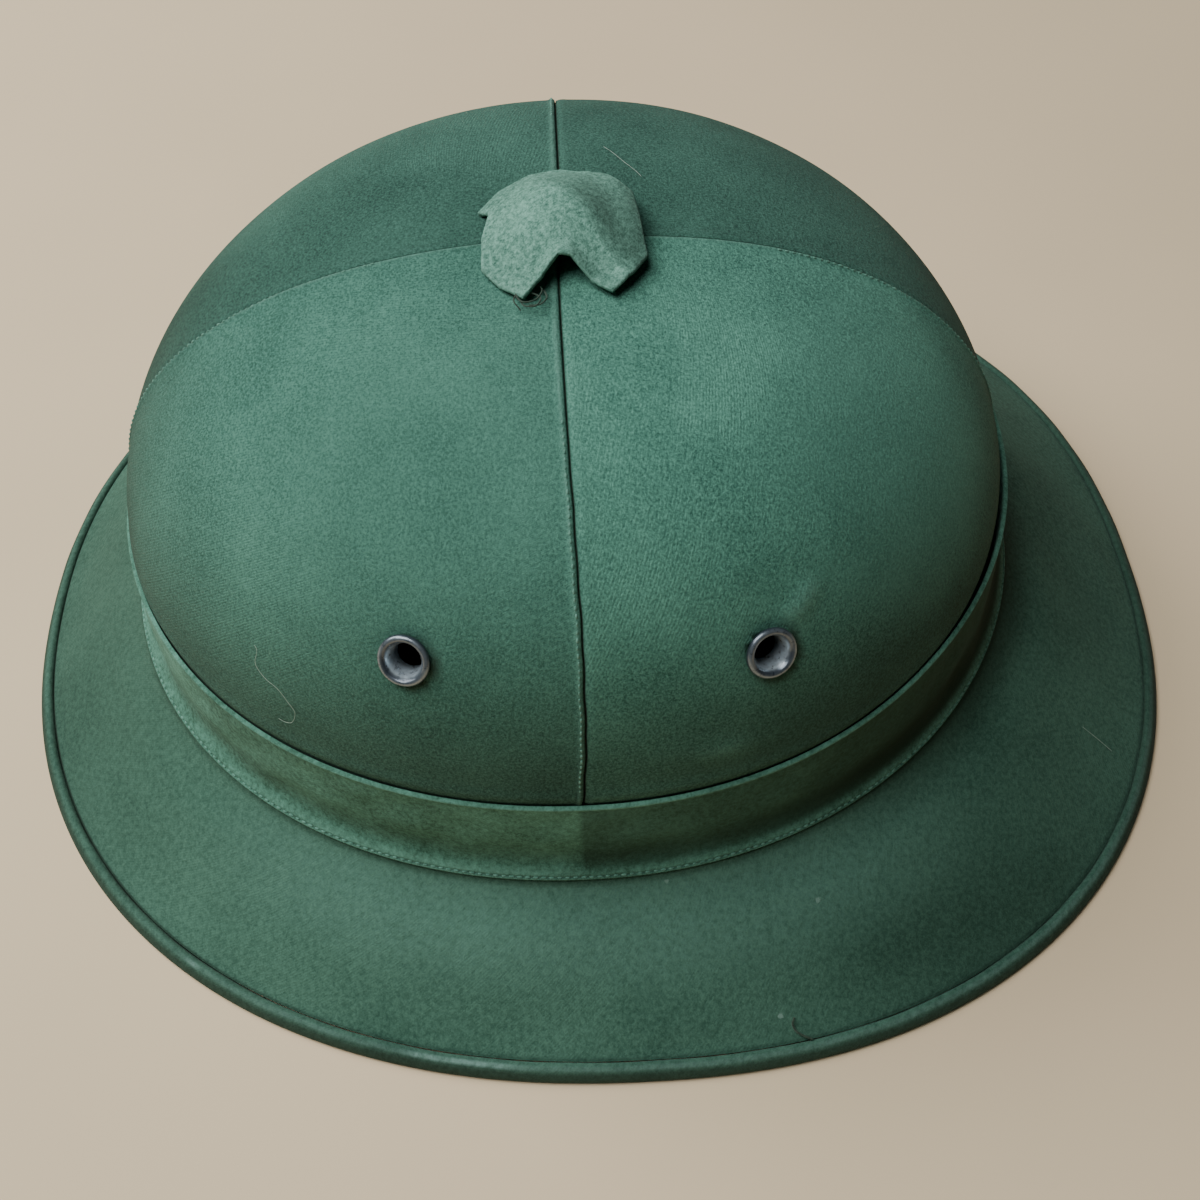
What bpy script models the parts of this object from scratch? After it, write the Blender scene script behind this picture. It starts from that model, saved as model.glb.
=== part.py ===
"""Cloth-covered pith sun helmet, built as the real one is.

A moulded shell carries four crown panels, a brim cover, a rolled brim edge, a hat band, a top cap and
four metal vent eyelets. Lengths are in metres. +Z is up, the front of the hat faces -Y and the wearer's
left side is +X. The origin is under the middle of the brim, on the surface that the brim edge rests on.
"""
import math
from collections import namedtuple

import bmesh
import bpy
from mathutils import Vector

ByDirection = namedtuple("ByDirection", "side front rear")
Section = namedtuple("Section", "inset_share height_share")
Turned = namedtuple("Turned", "radius height")
Eyelet = namedtuple("Eyelet", "name angle_deg height_share")
Notch = namedtuple("Notch", "angle_deg half_width_deg depth_share")
Seam = namedtuple("Seam", "lean_at_band lean_at_top bow")

# Crown, measured on its cloth at the upper edge of the band, from the line where it is widest.
CROWN_CENTRE_Y = -0.0057
CROWN_REACH = ByDirection(side=0.109, front=0.1193, rear=0.1147)
CROWN_SQUARENESS = 2.1
CROWN_TOP = 0.1378
BAND_TOP = ByDirection(side=0.0598, front=0.0634, rear=0.0698)
DOME_RISE_POWER = ByDirection(side=2.12, front=1.99, rear=1.63)
DOME_ROUND_POWER = ByDirection(side=3.04, front=2.09, rear=2.52)

# Side seams: how far each leans to the front, and how far its middle bows back.
LEFT_SEAM = Seam(lean_at_band=0.0014, lean_at_top=0.0016, bow=0.0014)
RIGHT_SEAM = Seam(lean_at_band=-0.0012, lean_at_top=0.0003, bow=0.0)

# Crown wall under the band, then the foot where it turns out into the brim.
WALL_DROP = 0.0285
WALL_FLARE = ByDirection(side=-0.0003, front=0.0017, rear=0.0042)
WALL_MIDDLE_FLARE_SHARE = 0.40
FOOT_DROP = 0.0322
FOOT_REACH = ByDirection(side=0.0026, front=0.0046, rear=0.0071)

# Brim, measured to its outer edge from the line where it is widest.
BRIM_CENTRE_Y = 0.0062
BRIM_REACH = ByDirection(side=0.1538, front=0.1724, rear=0.1600)
BRIM_SQUARENESS_FRONT = 2.20
BRIM_SQUARENESS_REAR = 2.26
BRIM_DISH = 1.05

# Layers and clearances.
SHELL_WALL = 0.0020
CLOTH = 0.0010
GAP = 0.0003

# Share of the crown's reach at each ring of the dome, from the top down.
DOME_RINGS = (0.09, 0.22, 0.37, 0.52, 0.65, 0.77, 0.87, 0.94, 0.985, 1.0)
# Share of the way from the foot of the wall to the end of the brim cover.
BRIM_RINGS = (0.34, 0.67, 1.0)
STEPS_PER_PANEL = 14
COLUMNS = 4 * STEPS_PER_PANEL
ROW_WALL_MIDDLE = len(DOME_RINGS)
ROW_WALL_END = ROW_WALL_MIDDLE + 1
ROW_FOOT = ROW_WALL_MIDDLE + 2
ROW_BAND_TOP = ROW_WALL_MIDDLE - 1

# Rolled edge of the brim: the section's distances in from the brim's outline, as shares of the roll's
# width, and its heights, as shares of the roll's height. The brim cover ends over its inner side.
EDGE_ROLL_WIDTH = 0.0052
EDGE_ROLL_HEIGHT = 0.0038
EDGE_ROLL_SECTION = (
    Section(inset_share=0.00, height_share=0.42),
    Section(inset_share=0.08, height_share=0.76),
    Section(inset_share=0.27, height_share=0.97),
    Section(inset_share=0.52, height_share=1.00),
    Section(inset_share=0.69, height_share=0.89),
    Section(inset_share=1.00, height_share=0.00),
    Section(inset_share=0.15, height_share=0.00),
    Section(inset_share=0.04, height_share=0.16),
)
BRIM_COVER_INSET = 0.75 * EDGE_ROLL_WIDTH
BRIM_COVER_RISE = 0.0004

# Top cap: a domed round of cloth whose edge is cut into four lobes.
CAP_CENTRE_X = -0.0016
CAP_REACH = ByDirection(side=0.0242, front=0.0200, rear=0.0203)
CAP_SQUARENESS = 2.6
CAP_CLOTH = 0.0012
CAP_RISE = 0.0085
CAP_CROWN_POWER = 2.4
CAP_RINGS = (0.30, 0.56, 0.78, 0.92, 1.0)
CAP_STEPS = 40
CAP_NOTCHES = (
    Notch(angle_deg=0.0, half_width_deg=20.0, depth_share=0.34),
    Notch(angle_deg=99.0, half_width_deg=16.0, depth_share=0.14),
    Notch(angle_deg=180.0, half_width_deg=18.0, depth_share=0.20),
    Notch(angle_deg=261.0, half_width_deg=20.0, depth_share=0.22),
)

# Vent eyelets on the left side; the right side has the same two, mirrored.
EYELETS = (
    Eyelet(name="front", angle_deg=-22.7, height_share=0.501),
    Eyelet(name="rear", angle_deg=23.8, height_share=0.455),
)
EYELET_HOLE = 0.0040
EYELET_WALL = 0.0007
EYELET_RIM_WIDTH = 0.0014
EYELET_RIM_HEIGHT = 0.0015
EYELET_RIM_SHOULDER_SHARE = 0.6
EYELET_LIP_WIDTH = 0.0010
EYELET_LIP_THICKNESS = 0.0006
EYELET_LIP_TURN = 0.0003
EYELET_LIP_CLEARANCE = 0.0012
EYELET_STEPS = 16
EYELET_BARREL = EYELET_HOLE + EYELET_WALL
VENT_HOLE = EYELET_BARREL + GAP
SHELL_INSIDE = CLOTH + GAP + SHELL_WALL
VENT_CUT_DEPTH = 4 * SHELL_INSIDE

# Sharp edges are those that turn by more than this. Directions on the dome are read over a short step.
SHARP_ANGLE_DEG = 40.0
TANGENT_STEP = 0.01


def by_direction(values, angle):
    """Blend a side, front and rear value for a direction round the hat."""
    along = math.sin(angle) ** 2
    end = values.rear if math.sin(angle) > 0 else values.front
    return values.side * (1 - along) + end * along


def oval_reach(reach, squareness, angle):
    """Distance from the centre to a squared oval in one direction."""
    across, along = math.cos(angle), math.sin(angle)
    end = reach.rear if along > 0 else reach.front
    total = abs(across / reach.side) ** squareness + abs(along / end) ** squareness
    return total ** (-1 / squareness)


def brim_reach(angle):
    """Distance from the brim's centre to its outline in one direction."""
    squareness = BRIM_SQUARENESS_REAR if math.sin(angle) > 0 else BRIM_SQUARENESS_FRONT
    return oval_reach(BRIM_REACH, squareness, angle)


def around(centre_y, reach, angle, height):
    """Point at a reach and height in one direction from the centre line."""
    return Vector((reach * math.cos(angle), centre_y + reach * math.sin(angle), height))


def dome_height_share(ring, angle):
    """Height share of the dome where it has the given share of its reach."""
    rise = by_direction(DOME_RISE_POWER, angle)
    roundness = by_direction(DOME_ROUND_POWER, angle)
    return max(0.0, 1 - ring ** roundness) ** (1 / rise)


def dome_point(ring, angle):
    """Point on the crown cloth at a share of the crown's reach."""
    share = dome_height_share(ring, angle)
    height = by_direction(BAND_TOP, angle) * (1 - share) + CROWN_TOP * share
    reach = oval_reach(CROWN_REACH, CROWN_SQUARENESS, angle) * ring
    return around(CROWN_CENTRE_Y, reach, angle, height)


def over_dome(x, y, lift):
    """Point above the crown cloth, at x and y from the crown's centre."""
    angle = math.atan2(y, x)
    ring = math.hypot(x, y) / oval_reach(CROWN_REACH, CROWN_SQUARENESS, angle)
    return dome_point(ring, angle) + Vector((0, 0, lift))


def dome_point_at_height(share, angle):
    """Point on the crown cloth at a share of the dome's height."""
    rise = by_direction(DOME_RISE_POWER, angle)
    roundness = by_direction(DOME_ROUND_POWER, angle)
    return dome_point((1 - share ** rise) ** (1 / roundness), angle)


def dome_frame(share, angle):
    """Point on the crown cloth and the outward direction there."""
    step = TANGENT_STEP
    up = dome_point_at_height(share + step, angle) - dome_point_at_height(share - step, angle)
    along = dome_point_at_height(share, angle + step) - dome_point_at_height(share, angle - step)
    return dome_point_at_height(share, angle), along.cross(up).normalized()


def seam_turn(seam, ring):
    """Angle by which a side seam lies forward of the widest line at one ring."""
    share = dome_height_share(ring, 0.0)
    lean = seam.lean_at_band * (1 - share) + seam.lean_at_top * share - 4 * seam.bow * share * (1 - share)
    return math.asin(lean / (CROWN_REACH.side * ring))


def column_angles(ring):
    """Directions of the columns at one ring, the first of them on the left side seam."""
    left, right = seam_turn(LEFT_SEAM, ring), seam_turn(RIGHT_SEAM, ring)
    seams = (-left, math.pi / 2, math.pi + right, 3 * math.pi / 2, 2 * math.pi - left)
    angles = []
    for start, end in zip(seams[:-1], seams[1:]):
        angles += [start + (end - start) * i / STEPS_PER_PANEL for i in range(STEPS_PER_PANEL)]
    return angles


def wall_row(flare_share, drop, flare, angles):
    """Row of points on the crown wall, below the upper edge of the band."""
    row = []
    for angle in angles:
        reach = oval_reach(CROWN_REACH, CROWN_SQUARENESS, angle) + flare_share * by_direction(flare, angle)
        row.append(around(CROWN_CENTRE_Y, reach, angle, by_direction(BAND_TOP, angle) - drop))
    return row


def skin_rows():
    """Rows of the hat's outer cloth surface from the top of the dome to the end of the brim."""
    rows = [[dome_point(ring, angle) for angle in column_angles(ring)] for ring in DOME_RINGS]
    angles = column_angles(1.0)
    rows.append(wall_row(WALL_MIDDLE_FLARE_SHARE, WALL_DROP / 2, WALL_FLARE, angles))
    rows.append(wall_row(1.0, WALL_DROP, WALL_FLARE, angles))
    foot = wall_row(1.0, FOOT_DROP, FOOT_REACH, angles)
    rows.append(foot)
    end_height = EDGE_ROLL_HEIGHT + BRIM_COVER_RISE
    end = [around(BRIM_CENTRE_Y, brim_reach(a) - BRIM_COVER_INSET, a, end_height) for a in angles]
    for share in BRIM_RINGS:
        row = []
        for inner, outer in zip(foot, end):
            point = inner.lerp(outer, share)
            point.z = outer.z + (inner.z - outer.z) * (1 - share) ** BRIM_DISH
            row.append(point)
        rows.append(row)
    return rows


def closed_quads(count, rows, offset=0):
    """Faces between closed rows of equal length, listed from top to bottom."""
    faces = []
    for r in range(rows - 1):
        for c in range(count):
            d = (c + 1) % count
            top, low = offset + r * count, offset + (r + 1) * count
            faces.append((top + c, low + c, low + d, top + d))
    return faces


def surface_of_rows(name, rows, apex=None):
    """Open surface through closed rows, with a fan to the apex when there is one."""
    points = [p for row in rows for p in row]
    faces = closed_quads(len(rows[0]), len(rows))
    if apex is not None:
        points.append(apex)
        count = len(rows[0])
        faces += [(len(points) - 1, c, (c + 1) % count) for c in range(count)]
    return mesh_object(name, points, faces)


def surface_of_grid(name, rows):
    """Open surface through rows that don't close on themselves."""
    count = len(rows[0])
    points = [p for row in rows for p in row]
    faces = []
    for r in range(len(rows) - 1):
        for c in range(count - 1):
            top, low = r * count + c, (r + 1) * count + c
            faces.append((top, low, low + 1, top + 1))
    return mesh_object(name, points, faces)


def mesh_object(name, points, faces):
    """Object from points and faces, in the hat's collection."""
    mesh = bpy.data.meshes.new(name)
    mesh.from_pydata([tuple(p) for p in points], [], faces)
    mesh.update()
    obj = bpy.data.objects.new(name, mesh)
    HAT.objects.link(obj)
    return obj


def material(name, colour, roughness, metallic=0.0):
    """Plain Principled material."""
    mat = bpy.data.materials.new(name)
    mat.use_nodes = True
    shader = mat.node_tree.nodes["Principled BSDF"]
    shader.inputs["Base Color"].default_value = (*colour, 1.0)
    shader.inputs["Roughness"].default_value = roughness
    shader.inputs["Metallic"].default_value = metallic
    return mat


def finish(obj, mat):
    """Give an object its material and smooth shading with crisp corners."""
    obj.data.materials.append(mat)
    obj.data.shade_smooth()
    obj.data.set_sharp_from_angle(angle=math.radians(SHARP_ANGLE_DEG))
    return obj


def layer(obj, thickness, top):
    """Thicken an open surface so that its outer face lies at the height top over it."""
    solid = obj.modifiers.new("layer", "SOLIDIFY")
    solid.thickness = thickness
    solid.offset = 2 * top / thickness - 1
    solid.use_even_offset = True
    return obj


def cut(obj, cutters):
    """Cut each cutter out of an object."""
    for cutter in cutters:
        boolean = obj.modifiers.new("cut_" + cutter.name, "BOOLEAN")
        boolean.operation = "DIFFERENCE"
        boolean.solver = "EXACT"
        boolean.object = cutter


def moulded_shell(rows, mat):
    """Stiff moulded body: crown and brim in one piece, open below."""
    apex = Vector((0.0, CROWN_CENTRE_Y, CROWN_TOP))
    obj = surface_of_rows("moulded_shell", rows, apex)
    return finish(layer(obj, SHELL_WALL, -(CLOTH + GAP)), mat)


def crown_panel(name, rows, quarter, mat):
    """One of the four cloth panels of the crown, ending under the band."""
    first = quarter * STEPS_PER_PANEL
    grid = []
    for row in rows[: ROW_WALL_MIDDLE + 1]:
        columns = [row[(first + i) % COLUMNS].copy() for i in range(STEPS_PER_PANEL + 1)]
        inward = (columns[1] - columns[0]).normalized()
        columns[0] += inward * GAP / 2
        inward = (columns[-2] - columns[-1]).normalized()
        columns[-1] += inward * GAP / 2
        grid.append(columns)
    obj = surface_of_grid(name, grid)
    return finish(layer(obj, CLOTH, 0.0), mat)


def brim_cover(rows, mat):
    """Cloth over the top of the brim, from the foot of the crown to the rolled edge."""
    obj = surface_of_rows("brim_cover", rows[ROW_WALL_END:])
    return finish(layer(obj, CLOTH, 0.0), mat)


def hat_band(rows, mat):
    """Cloth band round the crown wall, whose lower edge turns out over the brim."""
    obj = surface_of_rows("hat_band", rows[ROW_BAND_TOP: ROW_FOOT + 1])
    return finish(layer(obj, CLOTH, GAP + CLOTH), mat)


def brim_edge(mat):
    """Rolled cloth edge round the brim, with a flat underside."""
    angles = column_angles(1.0)
    rows = []
    for section in reversed(EDGE_ROLL_SECTION):
        inset, height = section.inset_share * EDGE_ROLL_WIDTH, section.height_share * EDGE_ROLL_HEIGHT
        rows.append([around(BRIM_CENTRE_Y, brim_reach(a) - inset, a, height) for a in angles])
    faces = closed_quads(COLUMNS, len(rows))
    last = (len(rows) - 1) * COLUMNS
    for c in range(COLUMNS):
        d = (c + 1) % COLUMNS
        faces.append((last + c, c, d, last + d))
    points = [p for row in rows for p in row]
    return finish(mesh_object("brim_edge_roll", points, faces), mat)


def cap_reach(angle):
    """Reach of the top cap's edge, shortened where it is notched."""
    share = 1.0
    for notch in CAP_NOTCHES:
        turn = math.remainder(angle - math.radians(notch.angle_deg), 2 * math.pi)
        share -= notch.depth_share * max(0.0, 1 - abs(turn) / math.radians(notch.half_width_deg))
    return oval_reach(CAP_REACH, CAP_SQUARENESS, angle) * share


def top_cap(mat):
    """Domed cloth cap over the crown's top, open below and resting on its lobes."""
    rows = []
    for ring in CAP_RINGS:
        row = []
        for i in range(CAP_STEPS):
            angle = 2 * math.pi * i / CAP_STEPS
            reach = cap_reach(angle) * ring
            full = oval_reach(CAP_REACH, CAP_SQUARENESS, angle)
            lift = GAP + CAP_CLOTH + CAP_RISE * (1 - (reach / full) ** CAP_CROWN_POWER)
            row.append(over_dome(CAP_CENTRE_X + reach * math.cos(angle), reach * math.sin(angle), lift))
        rows.append(row)
    apex = over_dome(CAP_CENTRE_X, 0.0, GAP + CAP_CLOTH + CAP_RISE)
    obj = surface_of_rows("top_cap", rows, apex)
    return finish(layer(obj, CAP_CLOTH, 0.0), mat)


def turned(name, profile, steps, point, outward, mat):
    """Closed turned ring standing on a point and facing outward."""
    mesh = bpy.data.meshes.new(name)
    shape = bmesh.new()
    ring = [shape.verts.new((p.radius, 0.0, p.height)) for p in profile]
    edges = [shape.edges.new((ring[i], ring[(i + 1) % len(ring)])) for i in range(len(ring))]
    bmesh.ops.spin(shape, geom=ring + edges, cent=(0, 0, 0), axis=(0, 0, 1), angle=2 * math.pi,
                   steps=steps, use_merge=True)
    bmesh.ops.recalc_face_normals(shape, faces=shape.faces[:])
    turn = outward.to_track_quat("Z", "Y").to_matrix().to_4x4()
    turn.translation = point
    shape.transform(turn)
    shape.to_mesh(mesh)
    shape.free()
    obj = bpy.data.objects.new(name, mesh)
    HAT.objects.link(obj)
    return finish(obj, mat)


def eyelet_profile():
    """Section of an eyelet: rolled rim outside, barrel through the wall, clinched lip inside."""
    rim = EYELET_BARREL + EYELET_RIM_WIDTH
    shoulder = EYELET_RIM_SHOULDER_SHARE * EYELET_RIM_HEIGHT
    lip = EYELET_BARREL + EYELET_LIP_WIDTH
    lip_top = -(SHELL_INSIDE + EYELET_LIP_CLEARANCE)
    lip_low = lip_top - EYELET_LIP_THICKNESS
    return (
        Turned(rim, GAP),
        Turned(rim, shoulder),
        Turned((rim + EYELET_HOLE) / 2, EYELET_RIM_HEIGHT),
        Turned(EYELET_HOLE, shoulder),
        Turned(EYELET_HOLE, lip_top - EYELET_LIP_TURN),
        Turned(EYELET_BARREL, lip_low - EYELET_LIP_TURN),
        Turned(lip, lip_low),
        Turned(lip, lip_top),
        Turned(EYELET_BARREL, lip_top),
        Turned(EYELET_BARREL, GAP),
    )


def vent_cutter(name, point, outward):
    """Round cutter through the crown wall for one eyelet."""
    mesh = bpy.data.meshes.new(name)
    shape = bmesh.new()
    bmesh.ops.create_cone(shape, cap_ends=True, segments=EYELET_STEPS, radius1=VENT_HOLE,
                          radius2=VENT_HOLE, depth=VENT_CUT_DEPTH)
    turn = outward.to_track_quat("Z", "Y").to_matrix().to_4x4()
    turn.translation = point
    shape.transform(turn)
    shape.to_mesh(mesh)
    shape.free()
    obj = bpy.data.objects.new(name, mesh)
    CUTTERS.objects.link(obj)
    obj.hide_render = True
    obj.display_type = "WIRE"
    return obj


def vent_eyelets(mat):
    """Four eyelets and their cutters, by side and place."""
    cutters = {}
    for eyelet in EYELETS:
        for side, mirror in (("left", 1), ("right", -1)):
            point, outward = dome_frame(eyelet.height_share, math.radians(eyelet.angle_deg))
            point.x *= mirror
            outward.x *= mirror
            place = side + "_" + eyelet.name
            turned("vent_eyelet_" + place, eyelet_profile(), EYELET_STEPS, point, outward, mat)
            cutters[place] = vent_cutter("vent_hole_" + place, point, outward)
    return cutters


def collection(name):
    """New collection in the scene."""
    group = bpy.data.collections.new(name)
    bpy.context.scene.collection.children.link(group)
    return group


def main():
    rows = skin_rows()
    crown_cloth = material("crown_cloth", (0.055, 0.175, 0.120), 0.92)
    brim_cloth = material("brim_cloth", (0.045, 0.130, 0.085), 0.88)
    band_cloth = material("band_cloth", (0.040, 0.080, 0.045), 0.92)
    edge_cloth = material("edge_cloth", (0.040, 0.110, 0.075), 0.90)
    cap_cloth = material("cap_cloth", (0.120, 0.250, 0.190), 0.94)
    fibre = material("moulded_fibre", (0.330, 0.270, 0.180), 0.90)
    metal = material("eyelet_metal", (0.180, 0.190, 0.200), 0.35, 1.0)
    shell = moulded_shell(rows, fibre)
    cutters = vent_eyelets(metal)
    cut(shell, cutters.values())
    quarters = ("left_rear", "right_rear", "right_front", "left_front")
    for quarter, place in enumerate(quarters):
        panel = crown_panel("crown_panel_" + place, rows, quarter, crown_cloth)
        cut(panel, [cutters[place]])
    brim_cover(rows, brim_cloth)
    brim_edge(edge_cloth)
    hat_band(rows, band_cloth)
    top_cap(cap_cloth)


for old in list(bpy.data.objects):
    bpy.data.objects.remove(old, do_unlink=True)
HAT = collection("pith_helmet")
CUTTERS = collection("cutters")
main()
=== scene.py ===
"""Looks of a cloth-covered pith sun helmet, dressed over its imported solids.

The hat stands on the edge of its brim. Lengths are in metres. +Z is up, the front of the hat faces -Y and
the wearer's left side is +X, in the same frame as the solids. The cloth pieces are fine closed bodies on
the same skin as the solids: a dome, a wall under it and a sloping brim.
"""

import logging
import math
from dataclasses import dataclass, replace
from enum import Enum
from functools import lru_cache, reduce
from typing import Optional, Sequence, Union

import bpy
import numpy as np
from mathutils import Matrix, Vector


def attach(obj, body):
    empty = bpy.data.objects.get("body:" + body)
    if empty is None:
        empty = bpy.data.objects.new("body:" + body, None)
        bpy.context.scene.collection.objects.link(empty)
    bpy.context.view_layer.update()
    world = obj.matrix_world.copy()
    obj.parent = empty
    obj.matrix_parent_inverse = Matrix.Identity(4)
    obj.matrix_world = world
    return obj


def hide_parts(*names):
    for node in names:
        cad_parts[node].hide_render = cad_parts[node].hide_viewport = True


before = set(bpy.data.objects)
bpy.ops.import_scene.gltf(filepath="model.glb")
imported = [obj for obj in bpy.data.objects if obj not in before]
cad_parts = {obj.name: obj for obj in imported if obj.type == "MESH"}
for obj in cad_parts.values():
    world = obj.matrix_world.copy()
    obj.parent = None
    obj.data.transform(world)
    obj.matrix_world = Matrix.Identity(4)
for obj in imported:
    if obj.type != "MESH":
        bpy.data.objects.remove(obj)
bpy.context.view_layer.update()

LOG = logging.getLogger("pith_helmet")
BODY = "root"
MM = 0.001
FULL = 2 * math.pi
QUARTER = math.pi / 2

Array = np.ndarray
Piece = bpy.types.Object
Material = bpy.types.Material
Socket = bpy.types.NodeSocket
Colour = tuple[float, float, float]
Places = tuple[tuple[float, float], ...]


def smooth(x: Array, start: float, end: float) -> Array:
    """Blend from 0 at start to 1 at end with no corners."""
    t = np.clip((x - start) / (end - start), 0.0, 1.0)
    return t * t * (3 - 2 * t)


def bump(x: Array, middle: float, width: float) -> Array:
    """Soft hump of height 1 at the middle."""
    return np.exp(-(((x - middle) / width) ** 2))


def all_round(columns: int) -> Array:
    """Evenly spaced directions round the hat."""
    return np.linspace(0, FULL, columns, endpoint=False)


def run_along(line: Array) -> Array:
    """Distance of each point of a line from its start."""
    return np.concatenate([[0.0], np.cumsum(np.linalg.norm(np.diff(line, axis=0), axis=-1))])


def looped(line: Array) -> Array:
    """A line with its first point again at its end."""
    return np.concatenate([line, line[:1]])


# Form of the hat


@dataclass(frozen=True)
class Ends:
    """A value at the sides, the front and the rear, blended round the hat."""

    side: float
    front: float
    rear: float

    def at(self, angle: Array) -> Array:
        """Value in a direction round the hat."""
        along = np.sin(angle) ** 2
        return self.side * (1 - along) + np.where(np.sin(angle) > 0, self.rear, self.front) * along

    def oval(self, squareness: float, angle: Array) -> Array:
        """Distance to a squared oval with these reaches.

        Args:
            squareness: Power of the oval, 2 for an ellipse and more for a squarer one.
            angle: Direction round the hat, from +X towards +Y.

        Returns:
            The distance from the centre in each direction.
        """
        end = np.where(np.sin(angle) > 0, self.rear, self.front)
        total = np.abs(np.cos(angle) / self.side) ** squareness + np.abs(np.sin(angle) / end) ** squareness
        return total ** (-1 / squareness)


@dataclass(frozen=True)
class SeamLine:
    """A side seam: how far it leans to the front, and how far its middle bows back."""

    at_band: float
    at_top: float
    bow: float


@dataclass(frozen=True)
class HatForm:
    """Sizes of the hat's outer cloth surface, and points on it.

    A station runs down the hat: 0 at the crown's top, 1 at the upper edge of the band, 3 at the foot of
    the wall, 4 at the outer edge of the band's flange and 7 at the end of the brim cover.
    """

    crown_centre_y: float = -0.0057
    crown_reach: Ends = Ends(0.109, 0.1193, 0.1147)
    crown_squareness: float = 2.1
    crown_top: float = 0.1378
    band_top: Ends = Ends(0.0598, 0.0634, 0.0698)
    rise_power: Ends = Ends(2.12, 1.99, 1.63)
    round_power: Ends = Ends(3.04, 2.09, 2.52)
    seam_wobble: float = 0.00010
    left_seam: SeamLine = SeamLine(0.0014, 0.0016, 0.0014)
    right_seam: SeamLine = SeamLine(-0.0012, 0.0003, 0.0)
    wall_drop: float = 0.0285
    wall_flare: Ends = Ends(-0.0003, 0.0017, 0.0042)
    wall_middle_share: float = 0.40
    foot_drop: float = 0.0322
    foot_reach: Ends = Ends(0.0026, 0.0046, 0.0071)
    brim_centre_y: float = 0.0062
    brim_reach: Ends = Ends(0.1538, 0.1724, 0.1600)
    brim_squareness_front: float = 2.20
    brim_squareness_rear: float = 2.26
    cover_inset: float = 0.0041
    cover_height: float = 0.0042
    brim_dish: float = 1.05
    brim_rings: tuple[float, ...] = (0.34, 0.67, 1.0)

    def around(self, centre_y: float, reach: Array, angle: Array, height: Array) -> Array:
        """Points at a reach and height in each direction from a centre line."""
        x, y = reach * np.cos(angle), centre_y + reach * np.sin(angle)
        return np.stack(np.broadcast_arrays(x, y, height), axis=-1)

    def crown_oval(self, angle: Array) -> Array:
        """Reach of the crown at the band in each direction."""
        return self.crown_reach.oval(self.crown_squareness, angle)

    def brim_oval(self, angle: Array) -> Array:
        """Reach of the brim's outline in each direction."""
        front = self.brim_reach.oval(self.brim_squareness_front, angle)
        rear = self.brim_reach.oval(self.brim_squareness_rear, angle)
        return np.where(np.sin(angle) > 0, rear, front)

    def dome(self, station: Array, angle: Array) -> Array:
        """Points on the dome, from its top at station 0 to the band at 1."""
        turn = np.clip(station, 0.0, 1.0) * QUARTER
        ring = np.sin(turn) ** (2 / self.round_power.at(angle))
        share = np.maximum(np.cos(turn), 0.0) ** (2 / self.rise_power.at(angle))
        height = self.band_top.at(angle) * (1 - share) + self.crown_top * share
        return self.around(self.crown_centre_y, self.crown_oval(angle) * ring, angle, height)

    def dome_height(self, x: Array, y: Array) -> Array:
        """Height of the dome at x and y, measured from the crown's centre."""
        angle = np.arctan2(y, x)
        ring = np.clip(np.hypot(x, y) / self.crown_oval(angle), 0.0, 1.0)
        share = (1 - ring ** self.round_power.at(angle)) ** (1 / self.rise_power.at(angle))
        return self.band_top.at(angle) * (1 - share) + self.crown_top * share

    def station_at_height(self, share: float, angle: float) -> float:
        """Station on the dome at a share of its height."""
        return math.acos(share ** (float(self.rise_power.at(np.array(angle))) / 2)) / QUARTER

    def skirt_rows(self, angle: Array) -> Array:
        """The seven lines that the wall and the brim run through, in each direction."""
        oval, top = self.crown_oval(angle), self.band_top.at(angle)
        flare, centre = self.wall_flare.at(angle), self.crown_centre_y
        middle = oval + self.wall_middle_share * flare
        foot = self.around(centre, oval + self.foot_reach.at(angle), angle, top - self.foot_drop)
        rows = [self.around(centre, oval, angle, top),
                self.around(centre, middle, angle, top - self.wall_drop / 2),
                self.around(centre, oval + flare, angle, top - self.wall_drop), foot]
        end_reach = self.brim_oval(angle) - self.cover_inset
        end = self.around(self.brim_centre_y, end_reach, angle, np.full_like(angle, self.cover_height))
        for share in self.brim_rings:
            row = foot + (end - foot) * share
            row[..., 2] = end[..., 2] + (foot[..., 2] - end[..., 2]) * (1 - share) ** self.brim_dish
            rows.append(row)
        return np.stack(rows)

    def skirt(self, run: Array, angle: Array) -> Array:
        """Points on the wall and brim, on a smooth line through their rows.

        Args:
            run: 0 at the band's upper edge to 6 at the end of the brim cover.
            angle: Direction round the hat.

        Returns:
            One point for each run and angle.
        """
        shape = run.shape
        run, angle = run.ravel(), angle.ravel()
        rows = self.skirt_rows(angle)
        chord = np.linalg.norm(np.diff(rows, axis=0), axis=-1)
        slope = np.diff(rows, axis=0) / chord[..., None]
        tangent = np.empty_like(rows)
        tangent[0], tangent[-1] = (0.0, 0.0, -1.0), slope[-1]
        before, after = chord[:-1, :, None], chord[1:, :, None]
        tangent[1:-1] = (slope[1:] * before + slope[:-1] * after) / (before + after)
        i = np.clip(run.astype(int), 0, len(rows) - 2)
        n = np.arange(len(run))
        t = (run - i)[:, None]
        step = chord[i, n][:, None]
        leave, arrive = tangent[i, n] * step, tangent[i + 1, n] * step
        out = (rows[i, n] * (2 * t**3 - 3 * t**2 + 1) + leave * (t**3 - 2 * t**2 + t)
               + rows[i + 1, n] * (3 * t**2 - 2 * t**3) + arrive * (t**3 - t**2))
        return out.reshape(*shape, 3)

    def point(self, station: Array, angle: Array) -> Array:
        """Points on the hat's outer cloth surface."""
        station, angle = np.broadcast_arrays(np.asarray(station, float), np.asarray(angle, float))
        lower = self.skirt(np.clip(station - 1, 0.0, 6.0), angle)
        return np.where((station <= 1)[..., None], self.dome(station, angle), lower)

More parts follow.
